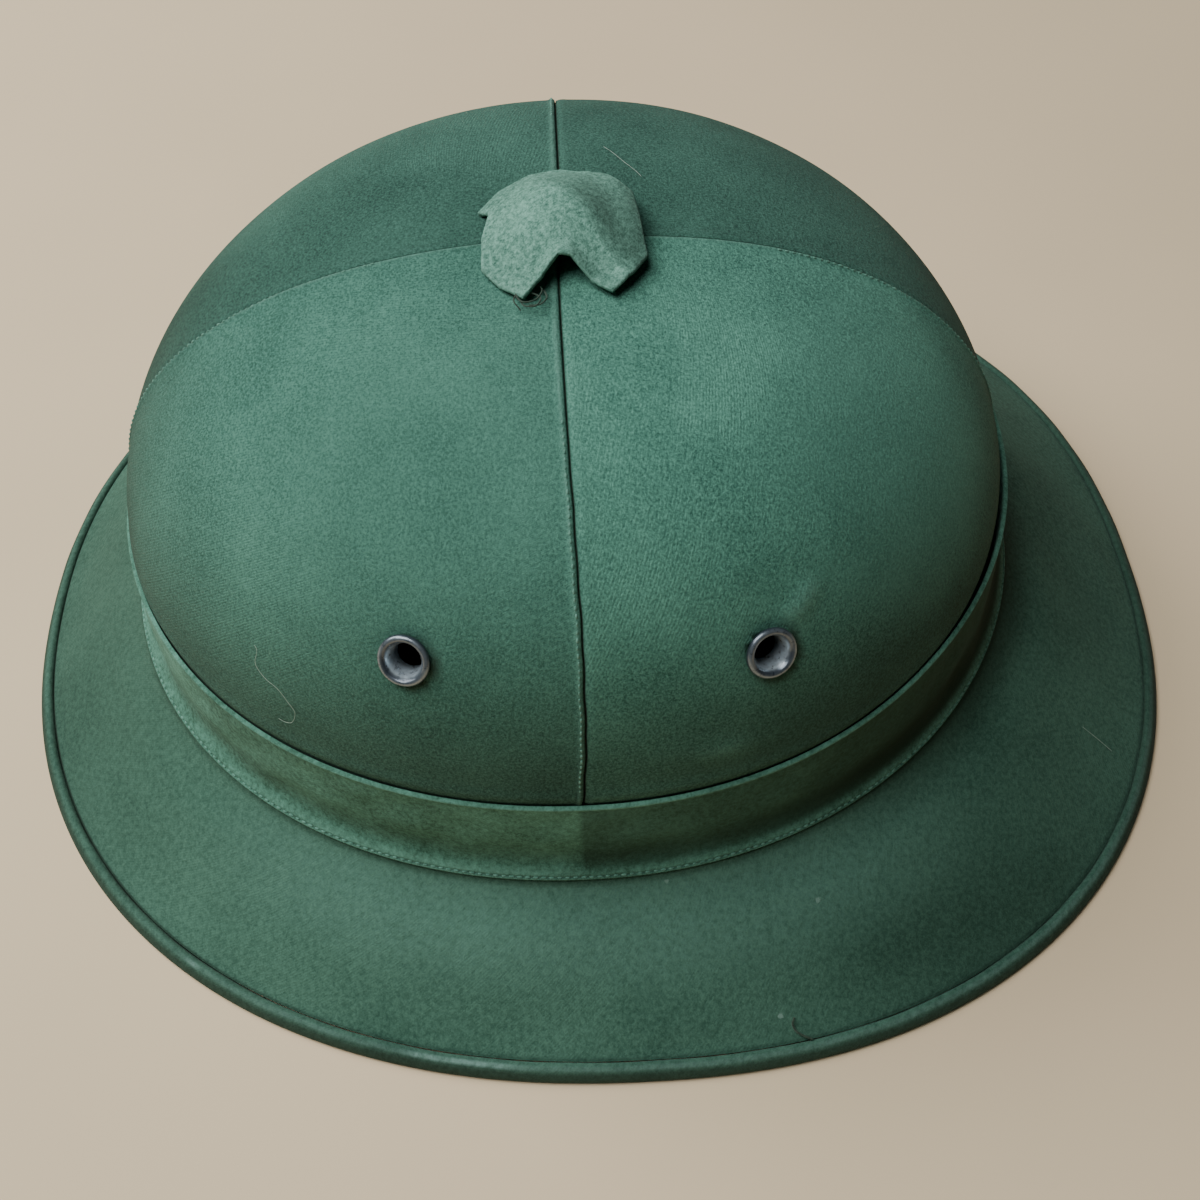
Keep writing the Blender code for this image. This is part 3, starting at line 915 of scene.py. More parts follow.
@lru_cache(maxsize=None)
def stitch_tree() -> bpy.types.NodeTree:
    """Node tree that sets a stitch at each step of a line.

    Returns:
        The tree, with inputs for the sizes, the seed and the thread's material.
    """
    sizes = ("Pitch", "Stitch Length", "Stitch Width", "Stitch Height")
    w, given, end = start_group(
        "stitch_row", "GeometryNodeTree",
        {"Line": "Geometry", **dict.fromkeys(sizes, "Float"), "Seed": "Int", "Thread": "Material"},
        {"Stitches": "Geometry"})
    line = w.node("GeometryNodeMeshToCurve", None, Mesh=given["Line"])
    steps = w.node("GeometryNodeResampleCurve", {"mode": "LENGTH"}, Curve=line.outputs[0],
                   Length=given["Pitch"])
    points = w.node("GeometryNodeCurveToPoints", {"mode": "EVALUATED"}, Curve=steps.outputs[0])
    lie = w.node("FunctionNodeAlignRotationToVector", {"axis": "X"}, Vector=points.outputs["Tangent"])
    bead = w.node("GeometryNodeMeshUVSphere", None, Segments=8, Rings=5, Radius=0.5)
    size = w.node("ShaderNodeCombineXYZ", None, X=given["Stitch Length"], Y=given["Stitch Width"],
                  Z=given["Stitch Height"])
    vary = w.node("FunctionNodeRandomValue", {"data_type": "FLOAT"}, i2=0.82, i3=1.12, Seed=given["Seed"])
    scaled = w.node("ShaderNodeVectorMath", {"operation": "SCALE"}, i0=size.outputs[0], Scale=vary.outputs[1])
    set_down = w.node("GeometryNodeInstanceOnPoints", None, Points=points.outputs["Points"],
                      Instance=bead.outputs["Mesh"], Rotation=lie.outputs["Rotation"],
                      Scale=scaled.outputs[0])
    real = w.node("GeometryNodeRealizeInstances", None, Geometry=set_down.outputs[0])
    dyed = w.node("GeometryNodeSetMaterial", None, Geometry=real.outputs[0], Material=given["Thread"])
    w.fill(end, Stitches=dyed.outputs[0])
    return w.tree


@dataclass(frozen=True)
class StitchRow:
    """Evenly spaced stitches along a line, made with Geometry Nodes."""

    pitch: float
    length: float
    width: float
    height: float
    seed: int = 7

    def build(self, name: str, path: Array, ring: bool, thread: Material, slot: str) -> Piece:
        """Make and dress a row of stitches.

        Args:
            name: Name of the piece.
            path: Points of the line.
            ring: Whether the line joins its own start.
            thread: Finish of the thread.
            slot: Not used; it is passed on to dress, which does not read it.

        Returns:
            The row of stitches, as a plain mesh.
        """
        mesh = bpy.data.meshes.new(name)
        count = len(path)
        edges = [(i, (i + 1) % count) for i in range(count if ring else count - 1)]
        mesh.from_pydata(path.tolist(), edges, [])
        obj = place_object(name, mesh)
        rows = obj.modifiers.new("stitches", "NODES")
        rows.node_group = stitch_tree()
        values = {"Pitch": self.pitch, "Stitch Length": self.length, "Stitch Width": self.width,
                  "Stitch Height": self.height, "Seed": self.seed, "Thread": thread}
        for item in stitch_tree().interface.items_tree:
            if item.item_type == "SOCKET" and item.in_out == "INPUT" and item.name in values:
                rows[item.identifier] = values[item.name]
        bpy.context.view_layer.update()
        piece = plain_mesh(obj)
        piece.data.shade_smooth()
        return dress(piece, thread, slot)


# Crown


@dataclass(frozen=True)
class Crease:
    """A soft ridge in the cloth between two places, given by station and angle in degrees."""

    start: tuple[float, float]
    end: tuple[float, float]
    width: float
    height: float
    # Whether a painted highlight runs along the crease's ridge.
    rubbed_and_lit: bool = False

    def share(self, points: Array) -> Array:
        """Share of the crease's height at each point."""
        a, b = (FORM.point(station, math.radians(angle)) for station, angle in (self.start, self.end))
        along = b - a
        t = np.clip(((points - a) @ along) / (along @ along), 0.0, 1.0)
        away = np.linalg.norm(points - (a + t[..., None] * along), axis=-1)
        fade = smooth(t, 0.0, 0.15) * (1 - smooth(t, 0.45, 1.0)) + 0.25 * (1 - smooth(t, 0.9, 1.0))
        return np.exp(-((away / self.width) ** 2)) * np.clip(fade, 0.0, 1.0)


class SeamEdge(Enum):
    """How a panel's cloth lies at a seam."""

    UNDER = "under"
    FELLED = "felled"


@dataclass
class CrownPanels:
    """The four cloth panels of the crown, sewn to each other at the seams.

    Each panel is a copy of one cloth with its own tone, as painted light and painted shade: the two far
    panels are painted darker and the two near ones paler, the near rear one most. The plan gives each panel's
    place, how it lies at its two seams, and its tone. The stitched rows are given by name, seam, the side of
    the seam that they run on, and the panel that carries them.
    """

    cloth: float = 0.0010
    gap: float = 0.00006
    top_station: float = 0.0004
    end_station: float = 2.0
    middle_columns: int = 60
    dome_rows: int = 104
    ridge: float = 0.00042
    ridge_middle: float = 0.00105
    ridge_width: float = 0.00062
    turn_down: float = 0.00085
    puff: float = 0.00050
    vent_depth: float = 0.012
    # Strength of the painted shade towards the crown's foot.
    foot_shade: float = 0.44
    close_columns_mm: tuple[float, ...] = (0.0, 0.08, 0.18, 0.32, 0.5, 0.72, 0.95, 1.2, 1.5, 1.9, 2.5, 3.4)
    creases: tuple[Crease, ...] = (
        Crease((0.66, 27.0), (0.60, 33.0), 0.0022, 0.00100, True),
        Crease((0.60, 21.5), (0.50, 20.5), 0.0026, 0.00025),
        Crease((0.90, 14.0), (0.95, 52.0), 0.0024, 0.00120, True),
        Crease((0.88, 8.0), (0.94, 24.0), 0.0045, 0.00035))
    # The last column is each panel's tone: painted shade on the two far panels and painted light on the two
    # near ones.
    plan: tuple[tuple[str, SeamEdge, SeamEdge, float], ...] = (
        ("left_rear", SeamEdge.UNDER, SeamEdge.FELLED, 1.34),
        ("right_rear", SeamEdge.UNDER, SeamEdge.UNDER, 0.68),
        ("right_front", SeamEdge.FELLED, SeamEdge.UNDER, 0.68),
        ("left_front", SeamEdge.FELLED, SeamEdge.FELLED, 1.06))
    stitched: tuple[tuple[str, int, int, str], ...] = (
        ("left", 4, -1, "left_front"), ("right", 2, 1, "right_front"), ("rear", 1, -1, "left_rear"),
        ("front", 3, 1, "left_front"))
    stitched_run: tuple[float, float] = (0.24, 0.985)
    stitch: StitchRow = StitchRow(0.0018, 0.00115, 0.00060, 0.00050)
    stitch_sink: float = 0.00005

    def stations(self) -> Array:
        """Rows from the top of the dome to the panel's end under the band."""
        dome = np.linspace(self.top_station**0.5, 0.955**0.5, self.dome_rows) ** 2
        return np.concatenate([dome, np.linspace(0.962, 1.0, 10), [1.02, 1.08, 1.3, 1.65, self.end_station]])

    def from_seam(self, width: Array) -> Array:
        """Distances of the columns from a panel's first seam, close-set at both seams.

        Args:
            width: Width of the panel at each row.

        Returns:
            The distances by row and column.
        """
        edge = np.array(self.close_columns_mm) * MM + self.gap / 2
        middle = np.linspace(0, 1, self.middle_columns + 2)[1:-1]
        rows = []
        for wide in width:
            close = edge * min(1.0, wide / (3 * edge[-1]))
            inner = close[-1] + (wide - 2 * close[-1]) * middle
            rows.append(np.concatenate([close, inner, wide - close[::-1]]))
        return np.array(rows)

    def panel(self, place: str, quarter: int, start: SeamEdge, end: SeamEdge) -> Piece:
        """Make one panel.

        Args:
            place: Its place on the crown.
            quarter: Which quarter, counted from the left side seam towards the rear.
            start: How the cloth lies at its first seam.
            end: How it lies at its second seam.

        Returns:
            The panel, with its vent cut.
        """
        station = self.stations()
        first, last = FORM.seams(station)[quarter:quarter + 2]
        centre_line = FORM.point(station, (first + last) / 2)
        width = (last - first) * np.linalg.norm(centre_line[:, :2] - [0, FORM.crown_centre_y], axis=1)
        from_start = self.from_seam(width)
        from_end = width[:, None] - from_start
        angle = first[:, None] + (last - first)[:, None] * from_start / width[:, None]
        grid = np.broadcast_to(station[:, None], angle.shape)
        skin, outward = FORM.point(grid, angle), FORM.outward(grid, angle)
        lift = self.seam_lift(from_start, start) + self.seam_lift(from_end, end) + self.drape(skin)
        lift = lift + self.puff * bump(grid, 0.980, 0.016) * (1 - smooth(np.sin(angle), 0.70, 0.95))
        down = np.broadcast_to(run_along(skin[:, 0])[:, None], angle.shape)
        flat = np.stack([from_start - width[:, None] / 2, down], axis=-1)
        # Painted highlight along the seams' raised sides; painted shade in the seam grooves, at the foot,
        # front and rear and round the eyelets.
        worn = self.rubbed_and_lit(from_start, start) + self.rubbed_and_lit(from_end, end)
        soil_and_shade = self.groove(from_start, start) + self.groove(from_end, end) + self.painted_shade(grid, angle, skin)
        # Flagged creases get a painted highlight along their ridge and less painted shade there.
        for crease in self.creases:
            if crease.rubbed_and_lit:
                raised = crease.share(skin)
                worn, soil_and_shade = worn + 0.60 * raised, soil_and_shade * (1 - 0.85 * raised)
        outer = skin + outward * lift[..., None]
        inner = skin - outward * self.cloth
        body = ClothBody("crown_cloth_" + place, outer, inner, False, flat, worn, soil_and_shade)
        return cut_vents(body.build(), self.vent_depth, [place])

    def seam_lift(self, distance: Array, edge: SeamEdge) -> Array:
        """Height of the cloth over the skin near a seam."""
        tuck = -self.turn_down * (1 - smooth(distance, 0.0, 0.00035))
        if edge is SeamEdge.FELLED:
            return tuck + self.ridge * bump(distance, self.ridge_middle, self.ridge_width)
        return tuck + 0.00012 * bump(distance, 0.0022, 0.0010) - 0.00018 * bump(distance, 0.0004, 0.0005)

    def groove(self, distance: Array, edge: SeamEdge) -> Array:
        """Share of painted shade in a seam's groove, wider on the side that lies under."""
        if edge is SeamEdge.FELLED:
            return 0.7 * (1 - smooth(distance, 0.05 * MM, 0.30 * MM))
        return 0.8 * (1 - smooth(distance, 0.10 * MM, 0.50 * MM))

    def rubbed_and_lit(self, distance: Array, edge: SeamEdge) -> Array:
        """Share of painted highlight along a seam's raised side."""
        if edge is SeamEdge.FELLED:
            return 0.50 * bump(distance, self.ridge_middle, 0.0005)
        return 0.05 * bump(distance, 0.0014, 0.0008)

    def painted_shade(self, grid: Array, angle: Array, skin: Array) -> Array:
        """Share of painted shade at the crown's foot, rear and front, in a line above the band and round the
        eyelets.

        Args:
            grid: Station of each point.
            angle: Its direction round the hat.
            skin: The point.

        Returns:
            The share at each point.
        """
        rear, forward = smooth(np.sin(angle), -0.1, 0.6), -np.sin(angle)
        front = 0.10 * smooth(forward, 0.45, 0.95) + 0.22 * smooth(forward, 0.92, 1.0)
        # Painted shade: darker towards the foot, more at the rear and the front, and a dark line just above
        # the band.
        soil_and_shade = 0.3 * smooth(grid, 0.995, 1.0) + (self.foot_shade + 0.24 * rear + front) * smooth(grid, 0.42, 1.0)
        # Painted shadows round the eyelets, heaviest on their shaded lower rear side.
        for place, outward in VENTS.values():
            away = skin - place
            beside = away - (away @ outward)[..., None] * outward
            shade_side = smooth(beside @ np.array([0.35, 0.94, -0.25]), -0.001, 0.006)
            soil_and_shade = soil_and_shade + 0.75 * bump(np.linalg.norm(away, axis=-1), 0.0064, 0.0011) * (0.15 + shade_side)
        return soil_and_shade

    def drape(self, points: Array) -> Array:
        """Small unevenness of the stretched cloth: soft waves, creases and the dip round each eyelet."""
        x, y, z = points[..., 0], points[..., 1], points[..., 2]
        lift = 0.00012 * np.sin(x * 95 + 1.3 * np.sin(z * 70)) * np.sin(y * 82 + 0.6) * np.sin(z * 61 + 0.4)
        for place, _ in VENTS.values():
            lift = lift - 0.00045 * bump(np.linalg.norm(points - place, axis=-1), 0.0052, 0.0022)
        for crease in self.creases:
            lift = lift + crease.height * crease.share(points)
        return lift

    def build(self, finish: ClothFinish, thread: Material) -> dict[str, list[Piece]]:
        """Make and dress the four panels and the stitches along their seams.

        Args:
            finish: The crown's cloth.
            thread: Finish of the stitches.

        Returns:
            Each panel by its place, with the stitches on it after it.
        """
        made = {}
        for quarter, (place, start, end, tone) in enumerate(self.plan):
            cloth = finish.light_and_shade_copy("crown_cloth_" + place, tone).build()
            piece = self.panel(place, quarter, start, end)
            made[place] = [dress(piece, cloth, "crown_cloth", "crown_panel_" + place)]
        station = np.linspace(*self.stitched_run, 240)
        for name, seam, side, place in self.stitched:
            angle = FORM.seams(station)[seam]
            reach = np.linalg.norm(FORM.point(station, angle)[:, :2], axis=1)
            angle = angle + side * self.ridge_middle / reach
            path = FORM.point(station, angle) + FORM.outward(station, angle) * (self.ridge - self.stitch_sink)
            made[place].append(self.stitch.build("seam_stitches_" + name, path, False, thread, "crown_cloth"))
        return made


# Shell and brim


@dataclass
class MouldedShell:
    """The stiff pressed shell under the cloth, which shows only from below."""

    top: float = -0.0013
    wall: float = 0.0020
    vent_depth: float = 0.016
    columns: int = 256

    def build(self, material: Material) -> Piece:
        """Make and dress the shell."""
        rows = np.concatenate([np.linspace(0.006, 1.0, 60), np.linspace(1.0, 3.0, 14)[1:],
                               np.linspace(3.0, 4.0, 7)[1:], np.linspace(4.0, 7.0, 24)[1:]])
        _, _, skin, outward = FORM.grid(rows, self.columns)
        under = self.top - self.wall
        tips = tuple(np.array([0.0, FORM.crown_centre_y, FORM.crown_top + z]) for z in (self.top, under))
        body = ClothBody("shell_moulding", skin + outward * self.top, skin + outward * under, True,
                         np.zeros((len(rows), self.columns + 1, 2)), apex=tips)
        piece = cut_vents(body.build(), self.vent_depth, list(VENTS))
        return dress(piece, material, "moulded_fibre", "moulded_shell")


@dataclass
class Brim:
    """Cloth cover of the brim and its rolled edge, whose section is inset and height in millimetres."""

    cloth: float = 0.0010
    columns: int = 480
    roll_section: Places = (
        (4.30, 3.05), (4.10, 3.75), (3.85, 4.22), (3.45, 4.52), (3.00, 4.58), (2.50, 4.40), (1.95, 4.06),
        (1.40, 3.60), (0.90, 3.05), (0.45, 2.40), (0.15, 1.75), (0.00, 1.15), (0.10, 0.55), (0.40, 0.15),
        (0.80, 0.00), (2.20, 0.00), (3.80, 0.00), (5.00, 0.00), (5.20, 0.20), (4.90, 1.20))

    def cover(self, material: Material) -> Piece:
        """Make and dress the cloth over the top of the brim."""
        rows = np.concatenate([np.linspace(3.0, 4.0, 6), np.linspace(4.0, 6.85, 38)[1:],
                               [6.9, 6.94, 6.965, 6.985, 7.0]])
        grid, turn, skin, outward = FORM.grid(rows, self.columns)
        wave = 0.00022 * np.sin(turn * 9 + 0.7) * np.sin(grid * 2.1)
        wave = wave + 0.00014 * np.sin(turn * 17 + 2.0 + grid * 1.7)
        lift = wave * smooth(grid, 4.2, 5.0) * (1 - smooth(grid, 6.4, 6.9)) - 0.0003 * smooth(grid, 6.94, 7.0)
        flat = cloth_map(run_along(looped(skin[20])), run_along(skin[:, 0]))
        rearward, sideward = np.sin(turn), np.cos(turn)
        # Painted shade: in the groove at the cover's end, most at the front; in a line at the band's flange
        # and a painted shadow beside it at the rear; at the front on the near half; and on the near rear part
        # of the brim.
        end_groove = (0.08 + 0.6 * smooth(-rearward, 0.3, 0.85)) * smooth(grid, 6.93, 6.98)
        band_groove = 0.45 * bump(grid, 4.05, 0.07)
        band_groove = band_groove + 0.45 * smooth(rearward, 0.45, 0.85) * (1 - smooth(grid, 4.1, 4.7))
        front = 0.24 * smooth(-rearward, 0.75, 0.98) * smooth(sideward, -0.3, 0.0)
        rear_side = 0.40 * bump(turn, math.radians(38.0), math.radians(20.0)) * smooth(grid, 4.6, 6.4)
        # Paler on the near side just outside the band.
        worn = 0.42 * smooth(sideward, 0.55, 0.95) * smooth(grid, 4.0, 4.2) * (1 - smooth(grid, 4.9, 6.2))
        body = ClothBody("brim_top_cloth", skin + outward * lift[..., None], skin - outward * self.cloth,
                         True, flat, worn, end_groove + band_groove + front + rear_side)
        return dress(body.build(), material, "brim_cloth", "brim_cover")

    def edge(self, material: Material) -> Piece:
        """Make and dress the rolled edge, paler from rubbing along its crest on the side and scuffed at two
        places, with painted shade on its low outer face, its inner side at the front and its top at the rear.
        """
        angle = all_round(self.columns)
        section = np.array(self.roll_section) * MM
        inset, height = (column[:, None] for column in section.T)
        ripple = 0.00006 * np.sin(angle * 41 + height * 900) * (height > 0.002)
        grid = FORM.around(FORM.brim_centre_y, FORM.brim_oval(angle) - inset + ripple, angle, height)
        obj = round_body("brim_edge_cloth", grid)
        flat = cloth_map(run_along(looped(grid[4])), run_along(looped(section)))
        corner = np.arange(flat.shape[0] * flat.shape[1]).reshape(flat.shape[:2])
        give_uv(obj, flat.reshape(-1, 2)[grid_faces(corner)])
        degrees = np.degrees(np.remainder(angle + math.pi, FULL) - math.pi)
        rubbed_and_lit = 0.03 + 0.30 * smooth(np.cos(angle - math.radians(15.0)), 0.30, 0.70)
        scuffed = smooth(degrees, -23.0, -21.0) * (1 - smooth(degrees, -14.0, -11.0))
        scuffed = scuffed + bump(degrees, -44.5, 0.5)
        crest = bump(inset, 0.0022, 0.00040) * (height > 0.003)
        give_attribute(obj, "worn", np.clip((rubbed_and_lit + 0.8 * scuffed) * crest, 0, 1))
        # Painted shade: darker on the roll's low outer face, on its inner side at the front and over its top
        # at the rear.
        low = 0.62 * (1 - smooth(height, 0.0030, 0.0042)) * (inset < 0.003)
        front = 0.35 * smooth(inset, 0.0022, 0.0036) * smooth(-np.sin(angle), 0.3, 0.85)
        rear = 0.38 * smooth(np.sin(angle), 0.72, 0.98) * (height > 0.002)
        give_attribute(obj, "soil_and_shade", np.clip(low + front + rear, 0, 0.8))
        obj.data.set_sharp_from_angle(angle=math.radians(60))
        return dress(obj, material, "edge_cloth", "brim_edge_roll")


# Band and cap


@dataclass
class HatBand:
    """Cloth band round the crown wall, with a folded upper edge and a stitched flange."""

    inner: float = 0.0003
    outer: float = 0.0013
    fold: float = 0.00030
    stand_off: float = 0.0009
    joint_deg: float = -1.0
    columns: int = 480
    foot_step: float = 0.0052
    stitch_inset: float = 0.0010
    stitch: StitchRow = StitchRow(0.0020, 0.00140, 0.00072, 0.00055)
    stitch_sink: float = 0.00022

    def stations(self) -> tuple[Array, Array, Array]:
        """Rows down the band, with their distance from its upper edge and from its lower edge."""
        top = np.array([0.0, 0.08, 0.2, 0.4, 0.65, 0.95, 1.3, 1.7, 2.2, 3.0]) * MM
        low = np.array([2.2, 1.9, 1.6, 1.35, 1.1, 0.85, 0.6, 0.35, 0.18, 0.07, 0.0]) * MM
        wall_step = FORM.wall_drop / 2
        upper = 1 + top / wall_step
        station = np.concatenate([upper, np.linspace(upper[-1], 2.86, 24)[1:],
                                  np.linspace(2.86, 3.55, 14)[1:], 4 - low / self.foot_step])
        return station, (station - 1) * wall_step, (4 - station) * self.foot_step

    def heights(self, top: Array, low: Array, turn: Array) -> tuple[Array, Array]:
        """Height of the band's outer and inner side over the cloth under it.

        Args:
            top: Distance from the upper edge.
            low: Distance from the lower edge.
            turn: Direction round the hat.

        Returns:
            The outer and the inner height.
        """
        stand = self.stand_off * smooth(np.sin(turn), 0.72, 0.98) * (1 - smooth(top, 0.0, 0.010))
        outer = self.outer + self.fold * bump(top, 0.0006, 0.0006) + stand
        fold_round = (self.outer + self.fold - 0.00075) * np.clip(1 - top / 0.00045, 0, 1) ** 2
        stitch_dip = 0.00030 * bump(low, self.stitch_inset, 0.00035)
        cut_edge = 0.00055 * np.clip(1 - low / 0.0006, 0, 1) ** 2
        crumple = 0.00016 * np.sin(turn * 23 + 1.1) * np.sin(top * 330)
        crumple = crumple + 0.00012 * np.sin(turn * 37 + top * 260)
        crumple = crumple * smooth(top, 0.002, 0.006) * smooth(low, 0.003, 0.008)
        inner = self.inner + 0.00030 * np.clip(1 - top / 0.0005, 0, 1) + stand
        return outer - fold_round - stitch_dip - cut_edge + crumple, inner

    def wear_and_shade(self, top: Array, low: Array, turn: Array) -> tuple[Array, Array]:
        """Shares of paler and darker colour: the darker is a dark joint, dirt and painted shade behind it,
        and painted shade at the rear, the foot and the stitches.

        Args:
            top: Distance from the upper edge.
            low: Distance from the lower edge.
            turn: Direction round the hat.

        Returns:
            The paler share and the darker share.
        """
        past = np.remainder(turn - math.radians(self.joint_deg) + math.pi, FULL) - math.pi
        darker = smooth(past, 0.0, 0.006) * (1 - smooth(past, 1.5, 2.4))
        near = smooth(np.cos(turn), 0.55, 0.95)
        # Paler along the fold of the upper edge and on the flange, most on the near side, and less pale under
        # the painted shade.
        worn = (0.14 + 0.26 * near) * bump(top, 0.00050, 0.00036)
        worn = worn + (0.02 + 0.30 * near) * (1 - smooth(low, 0.0022, 0.0048))
        worn = worn * (1 - 0.7 * darker * (top > 0.002))
        # Darker behind the joint and round towards the rear: dirt on that end of the band and painted shade.
        soil_and_shade = (0.48 + 0.22 * smooth(past, 0.2, 0.8)) * darker * smooth(top, 0.0008, 0.0016)
        # Painted shadow line where the band bends at the foot.
        soil_and_shade = (soil_and_shade + 0.25 * bump(low, 0.0062, 0.0022)) * smooth(low, 0.0012, 0.0045)
        # A dark line at the joint itself.
        soil_and_shade = soil_and_shade + 0.3 * bump(past, 0.0, 0.004)
        # Painted shade along the row of stitches, most on the near side.
        soil_and_shade = soil_and_shade + (0.08 + 0.42 * near) * bump(low, self.stitch_inset, 0.00045)
        # More painted shade on the near rear part of the band.
        return worn, soil_and_shade + 0.10 * bump(past, 1.0, 0.45) * smooth(top, 0.0008, 0.003)

    def build(self, material: Material, thread: Material) -> list[Piece]:
        """Make and dress the band and its stitches."""
        rows, from_top, from_low = self.stations()
        _, turn, skin, outward = FORM.grid(rows, self.columns)
        top, low = from_top[:, None], from_low[:, None]
        outer, inner = self.heights(top, low, turn)
        flat = cloth_map(run_along(looped(skin[0])), from_top)
        body = ClothBody("band_cloth_ring", skin + outward * outer[..., None],
                         skin + outward * inner[..., None], True, flat, *self.wear_and_shade(top, low, turn))
        band = dress(body.build(), material, "band_cloth", "hat_band")
        station, ring = 4 - self.stitch_inset / self.foot_step, all_round(720)
        path = FORM.point(station, ring) + FORM.outward(station, ring) * (self.outer - self.stitch_sink)
        return [band, self.stitch.build("band_stitches", path, True, thread, "band_cloth")]


@dataclass
class TopCap:
    """Piece of faded cloth over a domed button at the crown's top, its edge cut into four uneven lobes.

    The corners are in millimetres from the button's middle, towards the wearer's left and the rear.
    """

    centre_x: float = -0.0016
    cloth: float = 0.0012
    gap: float = 0.0003
    rise: float = 0.0085
    crown_power: float = 1.9
    button: float = 0.0215
    columns: int = 360
    rings: int = 50
    corners: Places = (
        (17.0, -1.5), (17.2, 1.6), (21.0, 6.0), (24.5, 10.5), (20.0, 15.5), (14.0, 19.5), (3.0, 18.6),
        (-8.5, 17.4), (-10.5, 15.6), (-16.5, 12.0), (-21.5, 7.0), (-23.5, 0.0), (-21.5, -8.0),
        (-16.0, -15.0), (-8.5, -20.5), (-4.5, -17.8), (3.5, -19.6), (13.5, -19.6), (20.0, -15.5),
        (25.0, -10.0), (20.5, -5.0))

    def edge_reach(self, angle: Array) -> Array:
        """Distance from the middle to the cap's cut edge in each direction.

        Args:
            angle: Direction from +X towards +Y.

        Returns:
            The distance to the line between the two nearest corners.
        """
        start = np.array(self.corners) * MM
        step = np.roll(start, -1, axis=0) - start
        way_x, way_y = np.cos(angle)[:, None], np.sin(angle)[:, None]
        cross = way_x * step[:, 1] - way_y * step[:, 0]
        reach = (start[:, 0] * step[:, 1] - start[:, 1] * step[:, 0]) / cross
        along = (way_y * start[:, 0] - way_x * start[:, 1]) / cross
        inside = (along >= -1e-6) & (along <= 1 + 1e-6) & (reach > 0)
        return np.where(inside, reach, np.inf).min(axis=1)

    def curl(self, x: Array, y: Array, near_edge: Array) -> Array:
        """How far the stiff edge stands off the crown.

        Args:
            x: Distance to the wearer's left.
            y: Distance to the rear.
            near_edge: 1 at the cut edge, 0 in the middle.

        Returns:
            The lift at each place.
        """
        rear = smooth(y, 0.003, 0.016)
        gap = bump(np.hypot(x - 0.017, y), 0.0, 0.0060)
        frayed = bump(np.hypot(x - 0.0215, y + 0.0055), 0.0, 0.0065)
        return near_edge * (0.0025 * rear + 0.0024 * gap + 0.0022 * frayed)

    def build(self, material: Material) -> Piece:
        """Make and dress the cap."""
        angle = all_round(self.columns)
        ring = np.concatenate([np.linspace(0.03, 0.9, self.rings), np.linspace(0.9, 1.0, 12)[1:]])[:, None]
        edge = self.edge_reach(angle)
        soft = [np.interp(angle + turn, angle, edge, period=FULL) for turn in np.linspace(-0.5, 0.5, 21)]
        rho = ring * edge
        across_x, y = rho * np.cos(angle), rho * np.sin(angle)
        x = self.centre_x + across_x
        share = rho / np.maximum(np.max(soft, axis=0), edge)
        dome = np.clip(1 - (rho / self.button) ** 2, 0.0, 1.0) ** 1.15
        fold_line = (y - 0.0015) - 0.62 * across_x
        lift = self.gap + self.cloth + self.rise * (0.7 * dome + 0.3 * (1 - share**self.crown_power))
        lift = lift + 0.00012 * np.sin(x * 420 + 1.0) * np.sin(y * 380) * smooth(share, 0.1, 0.5)
        lift = lift + self.curl(across_x, y, smooth(ring, 0.55, 1.0))
        lift = lift + 0.0005 * bump(fold_line, 0.0, 0.0016) * smooth(x, 0.002, 0.010)
        outer = np.stack([x, FORM.crown_centre_y + y, FORM.dome_height(x, y) + lift], axis=-1)
        normal = np.cross(np.gradient(outer, axis=0), np.roll(outer, -1, axis=1) - np.roll(outer, 1, axis=1))
        normal /= np.linalg.norm(normal, axis=-1, keepdims=True)
        from_edge = (1 - ring) * edge
        thin = 0.0004 * np.clip(1 - from_edge / 0.0005, 0, 1) ** 2
        inner = outer - normal * (self.cloth - thin)[..., None]
        flat = np.stack([x, y], axis=-1)
        crown_top = float(FORM.dome_height(np.array(self.centre_x), np.array(0.0)))
        top = crown_top + self.gap + self.cloth + self.rise
        tips = tuple(np.array([self.centre_x, FORM.crown_centre_y, z]) for z in (top, top - self.cloth))
        # Painted shade: darker on the rear part of the cap beyond the fold line, and a little towards the
        # wearer's left.
        shaded = smooth(fold_line, -0.0010, 0.0050) * smooth(x, -0.024, 0.002)
        soil_and_shade = 0.60 * shaded + 0.10 * smooth(across_x, 0.004, 0.020) * (1 - shaded)
        body = ClothBody("cap_cloth_square", outer - normal * thin[..., None], inner, True,
                         np.concatenate([flat, flat[:, :1]], axis=1),
                         0.30 * np.clip(1 - from_edge / 0.0012, 0, 1), soil_and_shade, tips)
        return dress(body.build(), material, "cap_cloth", "top_cap")


# Loose threads


def over_cloth(places: Places, lift: float) -> Array:
    """Smooth path on the cloth through places given by station and angle in degrees, lifted off it."""
    line = through(places)
    station, angle = line[:, 0], np.radians(line[:, 1])
    return FORM.point(station, angle) + FORM.outward(station, angle) * lift


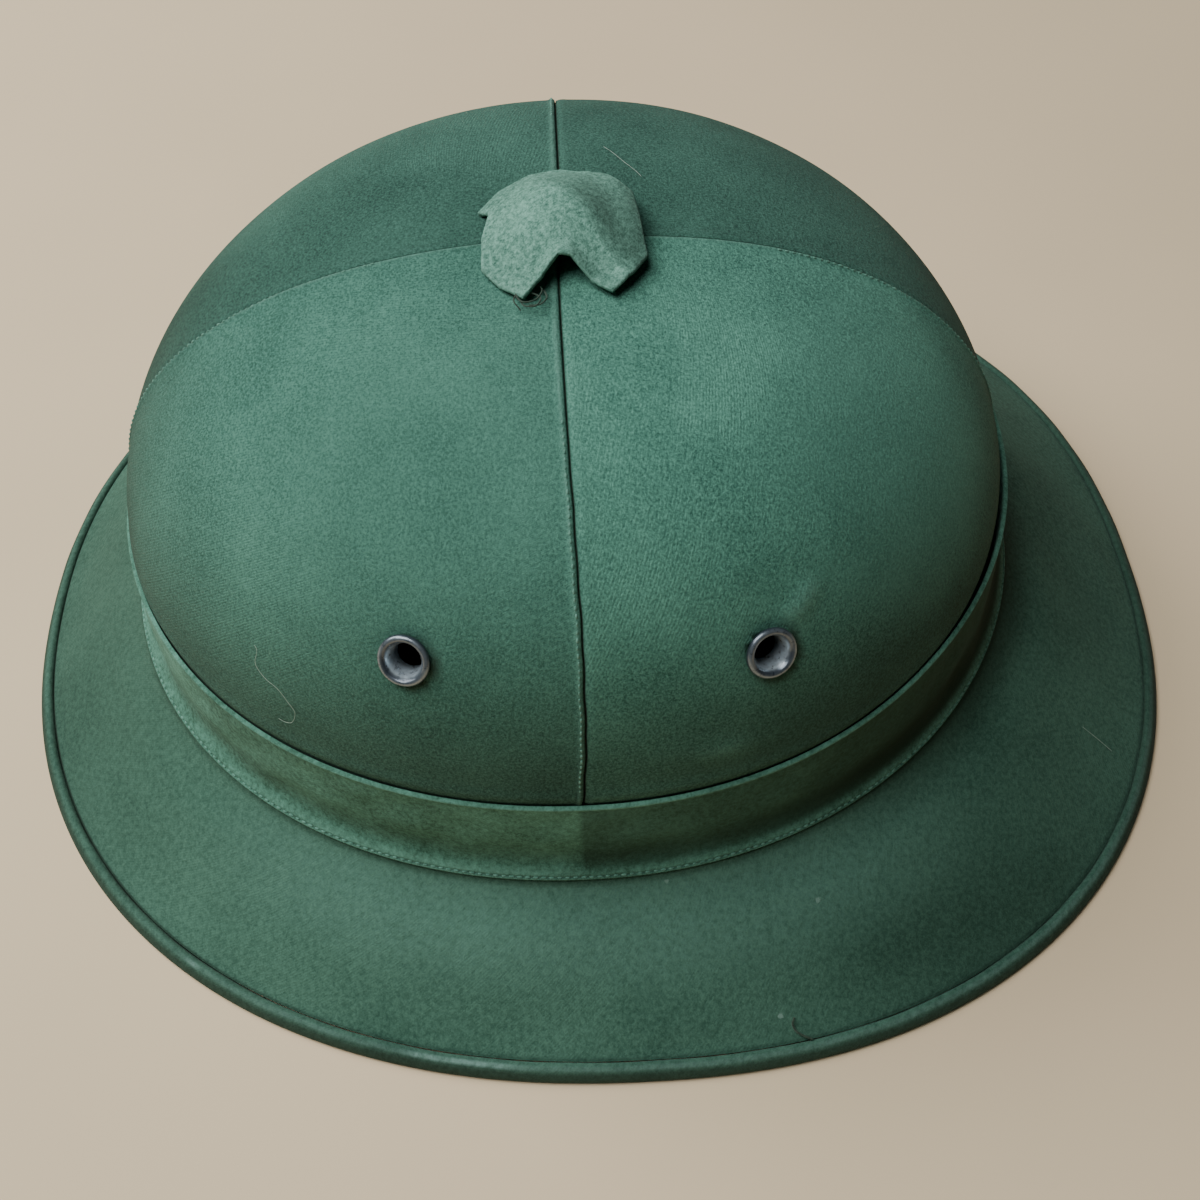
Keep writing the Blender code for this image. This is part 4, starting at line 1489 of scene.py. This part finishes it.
@dataclass
class LooseThreads:
    """Frayed threads at the cap, a broken thread at the brim's edge and pale lint on the cloth.

    The frays are in millimetres as the cap's corners are, and the others by station and angle in degrees.
    """

    thread: float = 0.00018
    snapped: float = 0.00024
    lint: float = 0.00005
    frays: tuple[Places, ...] = (
        ((19.0, -7.0), (22.5, -5.5), (26.0, -7.0), (26.5, -10.0), (23.5, -11.5), (21.0, -10.5)),
        ((21.5, -9.5), (25.0, -6.0), (28.0, -7.0), (27.5, -9.5), (25.0, -10.5)),
        ((22.0, -5.0), (25.5, -4.5), (27.5, -6.0), (26.5, -8.5)),
        ((22.0, -11.0), (26.0, -12.0), (28.0, -10.5)))
    broken: Places = ((6.60, 15.0), (6.70, 14.5), (6.82, 14.5), (6.92, 15.0), (6.99, 15.5))
    curl: Places = (
        (0.77, -43.0), (0.78, -42.5), (0.81, -42.5), (0.83, -41.0), (0.84, -39.0), (0.86, -37.5),
        (0.88, -36.5), (0.91, -37.0), (0.92, -38.0), (0.92, -39.0))
    hair: Places = ((0.13, 162.5), (0.11, 151.5), (0.10, 138.5))
    scratch: Places = ((5.90, 63.0), (6.20, 62.8), (6.50, 62.5))

    def fray(self, places: Places) -> Array:
        """Path of one thread that curls up from the crown at the cap's edge."""
        flat = through(places) * MM
        x, y = flat[:, 0] + TopCap.centre_x, flat[:, 1]
        rise = 0.0016 + 0.0012 * np.sin(np.linspace(0, math.pi, len(flat)))
        return np.stack([x, y + FORM.crown_centre_y, FORM.dome_height(x, y) + rise], axis=-1)

    def build(self, dark: Material, pale: Material) -> list[Piece]:
        """Make and dress the threads and the lint.

        Args:
            dark: Finish of the threads.
            pale: Finish of the lint.

        Returns:
            The cap's threads, the brim's thread, and the lint near the band, behind the cap and on the brim.
        """
        frays = [self.fray(places) for places in self.frays]
        plan = (("cap_frayed_threads", frays, self.thread, dark, "cap_cloth"),
                ("brim_broken_thread", [over_cloth(self.broken, 0.0011)], self.snapped, dark, "brim_cloth"),
                ("pale_lint_near", [over_cloth(self.curl, 0.0006)], self.lint, pale, "crown_cloth"),
                ("pale_lint_far", [over_cloth(self.hair, 0.0006)], self.lint, pale, "crown_cloth"),
                ("pale_lint_brim", [over_cloth(self.scratch, 0.00035)], self.lint, pale, "brim_cloth"))
        return [dress(tube(name, paths, radius), finish, slot) for name, paths, radius, finish, slot in plan]


# Studio


@dataclass
class Studio:
    """Pale floor, two soft lights given by azimuth, elevation and power, and the camera."""

    eye: tuple[float, float, float] = (0.2936, -0.0086, 0.3723)
    gaze: tuple[float, float, float] = (-0.6165, 0.021, -0.787)
    roll_deg: float = -1.1
    lens: float = 46.15
    floor_half: float = 3.0
    floor_height: float = -0.0002
    light_distance: float = 1.6
    light_size: float = 1.0
    lights: tuple[tuple[str, float, float, float], ...] = (
        ("low_window", 243.0, 42.0, 17.0), ("high_window", 288.0, 68.0, 19.0))
    room: Colour = (0.50, 0.53, 0.56)
    room_strength: float = 0.03

    def build(self) -> None:
        """Make the floor, the lights and the camera."""
        self.floor()
        for name, azimuth, elevation, power in self.lights:
            self.light(name, math.radians(azimuth), math.radians(elevation), power)
        world = bpy.data.worlds.new("room")
        world.use_nodes = True
        Wiring(world.node_tree).fill(world.node_tree.nodes["Background"], Color=self.room,
                                     Strength=self.room_strength)
        bpy.context.scene.world = world
        self.camera()

    def floor(self) -> None:
        """Plain pale floor under the hat."""
        corners = np.array([(-1, -1, 0), (1, -1, 0), (1, 1, 0), (-1, 1, 0)]) * self.floor_half
        obj = new_object("floor", corners + [0, 0, self.floor_height], [[0, 1, 2, 3]])
        obj.data.materials.append(PALE_FLOOR.build())

    def light(self, name: str, azimuth: float, elevation: float, power: float) -> None:
        """Large soft light that shines on the hat from a direction."""
        lamp = bpy.data.lights.new(name, "AREA")
        lamp.shape, lamp.size, lamp.energy = "SQUARE", self.light_size, power
        obj = place_object(name, lamp)
        level = math.cos(elevation)
        towards = Vector((math.cos(azimuth) * level, math.sin(azimuth) * level, math.sin(elevation)))
        obj.location = towards * self.light_distance
        obj.rotation_mode = "QUATERNION"
        obj.rotation_quaternion = towards.to_track_quat("Z", "Y")

    def camera(self) -> None:
        """Camera at the photograph's angle."""
        forward = Vector(self.gaze).normalized()
        right = forward.cross(Vector((0, 0, 1))).normalized()
        up = right.cross(forward)
        cos, sin = math.cos(math.radians(self.roll_deg)), math.sin(math.radians(self.roll_deg))
        turn = Matrix((right * cos + up * sin, up * cos - right * sin, -forward)).transposed().to_4x4()
        turn.translation = Vector(self.eye)
        data = bpy.data.cameras.new("camera")
        data.lens, data.sensor_width, data.clip_start = self.lens, 36.0, 0.01
        obj = place_object("camera", data)
        obj.matrix_world = turn
        bpy.context.scene.camera = obj


def main() -> None:
    logging.basicConfig(level=logging.INFO, format="%(name)s %(message)s")
    stitch = STITCH_THREAD.build()
    shell = MouldedShell().build(MOULDED_FIBRE.build())
    panels = CrownPanels().build(CROWN_CLOTH, stitch)
    cover = Brim().cover(BRIM_CLOTH.build())
    edge = Brim().edge(EDGE_CLOTH.build())
    band, band_stitches = HatBand().build(BAND_CLOTH.build(), stitch)
    cap = TopCap().build(CAP_CLOTH.build())
    VentEyelets().build(EYELET_METAL.build())
    threads = LooseThreads().build(DARK_THREAD.build(), PALE_FIBRE.build())
    frays, broken, near_lint, far_lint, brim_lint = threads
    panels["left_front"].append(near_lint)
    panels["right_rear"].append(far_lint)
    for place, (panel, *sewn_on) in panels.items():
        cut = FRONT_PANEL_CUT if place.endswith("front") else REAR_PANEL_CUT
        cut.declare(panel, [shell], sewn_on)
    crown = [pieces[0] for pieces in panels.values()]
    BRIM_CUT.declare(cover, [shell], [edge, broken, brim_lint])
    BAND_CUT.declare(band, [*crown, cover], [band_stitches])
    CAP_CUT.declare(cap, crown, [frays])
    Studio().build()


if __name__ == "__main__":
    main()
